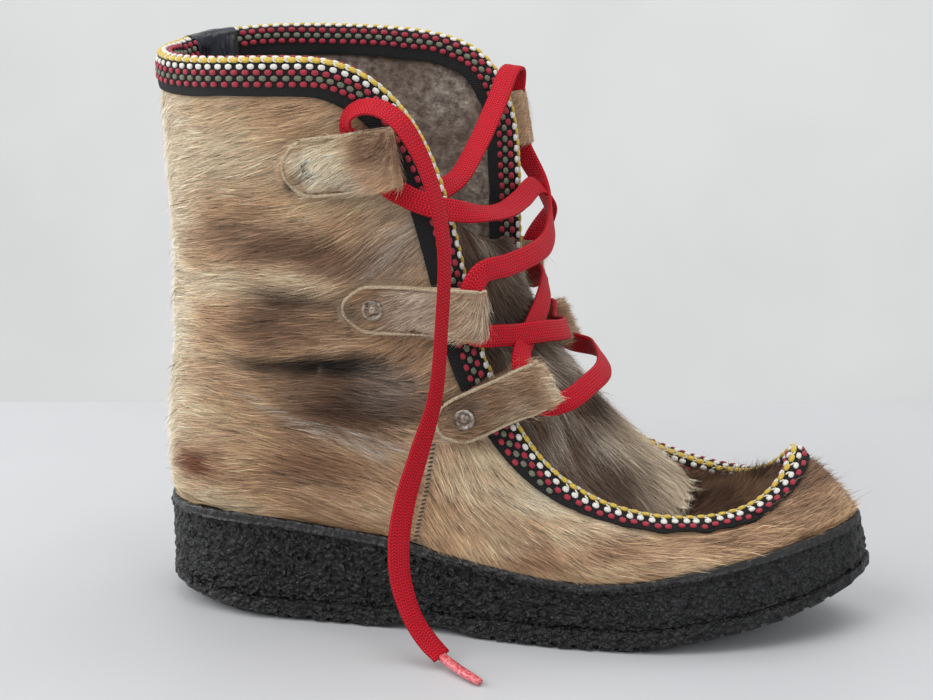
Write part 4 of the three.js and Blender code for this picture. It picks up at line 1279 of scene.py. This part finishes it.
# Half of the rivet's section: a rolled rim round a hollow with a pierced eye
RIVET_SECTION = [
    (4.1, -0.3), (4.15, 0.7), (3.95, 1.2), (3.5, 1.5), (3.0, 1.4), (2.6, 0.95), (2.3, 0.5), (1.9, 0.35),
    (1.6, 0.7), (1.3, 1.05), (0.95, 1.1), (0.6, 0.8), (0.3, 0.6), (0, 0.55),
]


def make_rivets(metal):
    for name in LOOPS:
        foot, axis = disc_frame(f"rivet_{name}")
        bm = bmesh.new()
        verts = [bm.verts.new((r * MM, 0, h * MM)) for r, h in RIVET_SECTION]
        edges = [bm.edges.new(pair) for pair in zip(verts, verts[1:])]
        bmesh.ops.spin(
            bm, geom=verts + edges, axis=(0, 0, 1), cent=(0, 0, 0), angle=2 * pi, steps=28, use_merge=True
        )
        bmesh.ops.remove_doubles(bm, verts=bm.verts, dist=0.001 * MM)
        rim = [edge for edge in bm.edges if edge.is_boundary]
        bmesh.ops.holes_fill(bm, edges=rim, sides=0)
        bmesh.ops.recalc_face_normals(bm, faces=bm.faces)
        turn = Vector((0, 0, 1)).rotation_difference(axis).to_matrix().to_4x4()
        turn.translation = foot
        bmesh.ops.transform(bm, matrix=turn, verts=bm.verts)
        cup = f"rivet_{name}_cup"
        finished(new_object(cup, mesh_of(bm, cup), metal), "rivet", f"rivet_{name}")


def loop_tunnel(name):
    """Middle of a loop's tunnel, the way along the loop, and the side of the boot, from its solid."""
    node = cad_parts[f"loop_{name}"]
    p = trimmed(name, coordinates(node.data))
    side = side_of(name)
    middle = p.mean(axis=0)
    long_way = Vector(main_ways(p)[0])
    reach = (p - middle) @ np.array(long_way)
    front = p[reach > reach.max() - 13 * MM]
    centre = Vector((front.min(axis=0) + front.max(axis=0)) / 2)
    return centre, long_way, side


# Stops of the lace between the loops, from the outer side's top loop to the inner side's top loop
LACING = [
    ("lateral_top", 1),
    [((104, -47.5, 175.5), (0.2, -0.9, 0.3)), ((113, -47, 172), (0.3, -0.9, 0.3)),
     ((122.5, -41, 169), (0.6, -0.7, 0.4)), ((131, -28, 165.9), (0.5, -0.3, 0.8)),
     ((136.5, -8, 163.5), (0.5, 0, 0.85)), ((140, 12, 164), (0.6, 0.1, 0.8)),
     ((144, 33, 165.5), (0.8, 0.4, 0.5)), ((149, 43, 156), (0.9, 0.5, 0.1))],
    ("medial_middle", 1),
    [((147, 28, 131), (0.5, 0.8, 0.3)), ((149.5, 14, 127.5), (0.8, 0.3, 0.5)),
     ((149.5, -1, 123.5), (0.8, -0.1, 0.55)), ((147.8, -16, 119), (0.75, -0.5, 0.4)),
     ((146, -32, 114), (0.5, -0.8, 0.2))],
    ("lateral_low", 1),
    [((163, -36, 96), (0.5, -0.8, 0.3)), ((171, -19, 98.5), (0.7, -0.4, 0.6)),
     ((174.5, 0, 99), (0.75, 0, 0.65)), ((172, 19, 99.5), (0.7, 0.4, 0.6)),
     ((167, 35, 98.5), (0.5, 0.8, 0.3))],
    ("medial_low", -1),
    [((153, 28, 109.5), (0.7, 0.6, 0.3)), ((158, 16, 111.5), (0.95, 0.15, 0.3)),
     ((158.3, 0, 114.5), (0.85, -0.25, 0.45)), ((152.5, -17, 118), (0.65, -0.65, 0.35)),
     ((139.5, -35, 120.5), (0.4, -0.9, 0.15))],
    ("lateral_middle", -1),
    [((131.5, -44, 146), (0.4, -0.9, 0.1)), ((140, -30, 146.7), (0.7, -0.6, 0.4)),
     ((147.5, -12, 147.3), (0.85, -0.2, 0.4)), ((151, 8, 148.5), (0.9, 0.1, 0.4)),
     ((150, 28, 154.5), (0.8, 0.5, 0.3)), ((145, 41, 164), (0.6, 0.8, 0.1))],
    ("medial_top", -1),
]


def lacing_route():
    """The lace's stops, with two at the ends of each loop's tunnel. The sign says if it runs down or up."""
    route = []
    for part in LACING:
        if isinstance(part, list):
            route += part
            continue
        name, down = part
        centre, long_way, side = loop_tunnel(name)
        across = long_way.cross(Vector((0, side, 0))).normalized()
        if across.z < 0:
            across = -across
        middle = Vector(own([centre])[0])
        half = 11 if "top" in name else 9
        face = (0.1, side, 0.1)
        for end in (down, -down):
            stop = middle + across * (half * 0.75 * end)
            route.append((tuple(stop), face))
    return route


def make_laces(lace, film):
    """The lacing through the loops, and the lace's two ends with their tips."""
    mesh, _ = flat_band("lacing", lacing_route(), LACE_WIDTH, LACE_THICK)
    mesh.materials.append(lace)
    finished(new_object("lacing", mesh), "lace", "lace_bar_low", "lace_cross_middle", "lace_cross_top")
    for side, route, tip in (("lateral", LATERAL_END, LATERAL_TIP), ("medial", MEDIAL_END, MEDIAL_TIP)):
        centre, _, sign = loop_tunnel(f"{side}_top")
        start = Vector(own([centre])[0]) + Vector((-3, 0, -3) if sign == OUTER else (-0.5, 0, 5.5))
        full = [(tuple(start), (0.1, sign, 0.1))] + route
        mesh, line = flat_band(f"lace_{side}", full, LACE_WIDTH, LACE_THICK)
        mesh.materials.append(lace)
        cord = finished(new_object(f"lace_{side}", mesh), "lace", f"lace_end_{side}")
        mesh, _ = flat_band(f"aglet_{side}_film", [full[-1], *tip], TIP_WIDTH, TIP_THICK, taper=0.25)
        mesh.materials.append(film)
        aglet = finished(new_object(f"aglet_{side}_film", mesh), "aglet", f"aglet_{side}")
        line_length(line)


# Sole

def crumble(points, ways, amount):
    """Moves points in and out as crumbs of rubber. amount is how far at the most, in millimetres."""
    p = own(points)
    grains = np.abs(mottle(p, 3.0, 41)) ** 0.7 + 0.7 * np.abs(mottle(p, 1.9, 42)) ** 0.8
    rough = grains * 0.8 - 0.45 + mottle(p, 9, 43) * 0.2
    return points + ways * (rough * amount * MM)[:, None]


def split_sides(mesh, steps):
    """Cuts the faces of a sole's side across its length, so that its crumbs have enough points."""
    bm = bmesh.new()
    bm.from_mesh(mesh)
    upright = [
        edge for edge in bm.edges
        if abs((edge.verts[0].co - edge.verts[1].co).normalized().z) < 0.5
        and any(abs(face.normal.z) < 0.7 for face in edge.link_faces)
    ]
    bmesh.ops.subdivide_edges(bm, edges=upright, cuts=steps, use_grid_fill=True)
    bm.to_mesh(mesh)
    bm.free()


def on_side(edge):
    """True for an edge on the sole's upright side."""
    return any(abs(face.normal.z) < 0.6 for face in edge.link_faces)


def flatten(piece):
    """Shades flat the faces of the tread that look down or lie level."""
    for face in piece.data.polygons:
        face.use_smooth = abs(face.normal.z) < 0.6


# Height of the sole's upper edge at places x
RAND_HEIGHTS = ((0, 50, 113, 171, 214, 280), (42.5, 42.3, 34.2, 27, 33.5, 45.6))


def make_sole(crepe):
    """Crepe body and tread plate, crumbled on their sides."""
    piece = smooth_copy("crepe_sole", "midsole", 3, crease_over=40, crease=1.0)
    mesh = piece.data
    split_sides(mesh, 1)
    points, ways = coordinates(mesh), normals(mesh)
    x, _, z = own(points).T
    top = np.interp(x, *RAND_HEIGHTS)
    rand = np.clip((top - z - 1.6) / 1.6, 0, 1)
    side = np.abs(ways[:, 2]) < 0.75
    move_points(mesh, crumble(points, ways, 1.5 * rand * side * np.interp(x, (140, 220), (1, 0.8))))
    paint(mesh, np.repeat((1 - rand)[:, None], 3, axis=1), "rand")
    mesh.materials.append(crepe)
    finished(piece, "rubber", "midsole")
    plate = new_object("crepe_tread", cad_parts["outsole"].data.copy())
    plate.data.materials.clear()
    plate.data.materials.append(crepe)
    bm = bmesh.new()
    bm.from_mesh(plate.data)
    bmesh.ops.remove_doubles(bm, verts=bm.verts, dist=0.01 * MM)
    bmesh.ops.triangulate(bm, faces=bm.faces)
    for limit in (7, 3.5, 2.4):
        long = [edge for edge in bm.edges if edge.calc_length() > limit * MM and on_side(edge)]
        bmesh.ops.subdivide_edges(bm, edges=long, cuts=1)
        bmesh.ops.triangulate(bm, faces=bm.faces)
    bm.to_mesh(plate.data)
    bm.free()
    points, ways = coordinates(plate.data), normals(plate.data)
    side = np.abs(ways[:, 2]) < 0.6
    move_points(plate.data, crumble(points, ways, 1.1 * side))
    finished(plate, "tread", "outsole")
    flatten(plate)


STITCH_STEP = 1.75
STITCH_SIZE = (1.1, 0.34, 0.35)


def make_stitches(upper_tree, thread):
    """Dark stitches over the side seam, on both sides of the boot."""
    matrices = []
    for side in (OUTER, INNER):
        for z in np.arange(SEAM[-1][1], SEAM[0][1], STITCH_STEP):
            start = at(seam_at(z), side * 80, z)
            hit, way, _, _ = upper_tree.ray_cast(start, Vector((0, -side, 0)))
            if hit is not None:
                place = hit + way * 0.5 * MM
                matrices.append(dot_matrix(place, Vector((1, 0, 0.3)), way, STITCH_SIZE))
    finished(new_object("seam_stitches", stamped("seam_stitches", matrices), thread), "hide")


# Room

# Lamps as name, place, size and power
LAMPS = [
    ("window", (-1.1, -1.0, 1.5), 1.4, 21),
    ("ceiling", (0.3, 0.1, 1.9), 1.6, 17),
    ("fill", (1.3, -1.3, 0.8), 1.0, 6),
    ("rim", (-1.5, 0.15, 0.6), 0.8, 9),
]
TABLE_DEPTH = 0.28


def make_room():
    """A pale table that ends behind the boot, a pale wall further back that glows a little as painted light,
    and soft lamps.
    """
    pale = Finish("floor_pale", 0.55)
    cloud = pale.noise(pale.place(), 0.004, 3.0)
    pale.set("Base Color", pale.ramp(cloud, (0.3, colour("bbbcbd")), (0.7, colour("c3c4c6"))))
    # Painted light: the wall glows a little, though it is no lamp
    glowing_wall = Finish("wall_pale", 0.9, Emission_Color=(1, 1, 1, 1), Emission_Strength=0.15)
    shade = glowing_wall.noise(glowing_wall.place(), 0.003, 3.0)
    glowing_wall.set("Base Color", glowing_wall.ramp(shade, (0.3, colour("dfdfdd")), (0.7, colour("e9e8e6"))))
    square_on = Matrix.Rotation(radians(YAW), 4, "Z")
    for name, finish, size, place, turn in (
        ("floor", pale, (8, 4 + TABLE_DEPTH), (0, (TABLE_DEPTH - 4) / 2, 0), 0),
        ("wall", glowing_wall, (14, 8), (0, 2.6, 0.5), pi / 2),
    ):
        bm = bmesh.new()
        matrix = square_on @ Matrix.Translation(place) @ Matrix.Rotation(turn, 4, "X")
        matrix = matrix @ Matrix.Diagonal((*size, 1, 1))
        bmesh.ops.create_grid(bm, x_segments=1, y_segments=1, size=0.5, matrix=matrix)
        new_object(name, mesh_of(bm, name), finish.material)
    world = bpy.data.worlds.new("room")
    world.use_nodes = True
    sky = world.node_tree.nodes["Background"].inputs
    sky["Color"].default_value, sky["Strength"].default_value = (0.95, 0.97, 1, 1), 0.55
    bpy.context.scene.world = world
    bpy.context.scene.view_settings.view_transform = "Standard"
    for name, place, size, power in LAMPS:
        data = bpy.data.lights.new(name, "AREA")
        data.size, data.energy = size, power
        lamp = bpy.data.objects.new(name, data)
        lamp.location = place
        aim = Vector((0, 0, 0.1)) - Vector(place)
        lamp.rotation_euler = aim.to_track_quat("-Z", "Y").to_euler()
        bpy.context.scene.collection.objects.link(lamp)


def dress_boot():
    make_camera()
    skin, hair, cut = skin_finish(), hair_finish(), suede_finish()
    make_laces(lace_finish(), aglet_finish())
    upper, _, outside = make_upper(skin, fleece_finish())
    upper_tree = tree_of(upper)
    yarns = {
        "yellow": yarn_finish("yarn_yellow", "e9c94c", "96731c"),
        "white": yarn_finish("yarn_white", "f6f4ee", "b5b0a6"),
        "zigzag": yarn_finish("yarn_chain", "f1ecd8", "b0a88e"),
        "red": yarn_finish("yarn_red", "bf1c3a", "5e0a1c"),
        "grey": yarn_finish("yarn_grey", "7f826c", "43473a"),
    }
    make_braid(upper_tree, braid_finish(), yarns)
    loops = make_loops(skin, cut, hair)
    make_rivets(metal_finish())
    make_stitches(upper_tree, thread_finish())
    band = bpy.data.objects["braid_band"]
    barred = tree_of(band, *loops)
    fur_on_upper(upper, outside, upper_tree, barred, hair)
    make_tongue(skin, hair, barred)
    make_plug(skin, hair, barred)
    make_sole(crepe_finish())
    make_collar_wrap(tape_finish())
    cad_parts["insole"].data.materials.clear()
    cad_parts["insole"].data.materials.append(fleece_finish())
    make_room()


dress_boot()
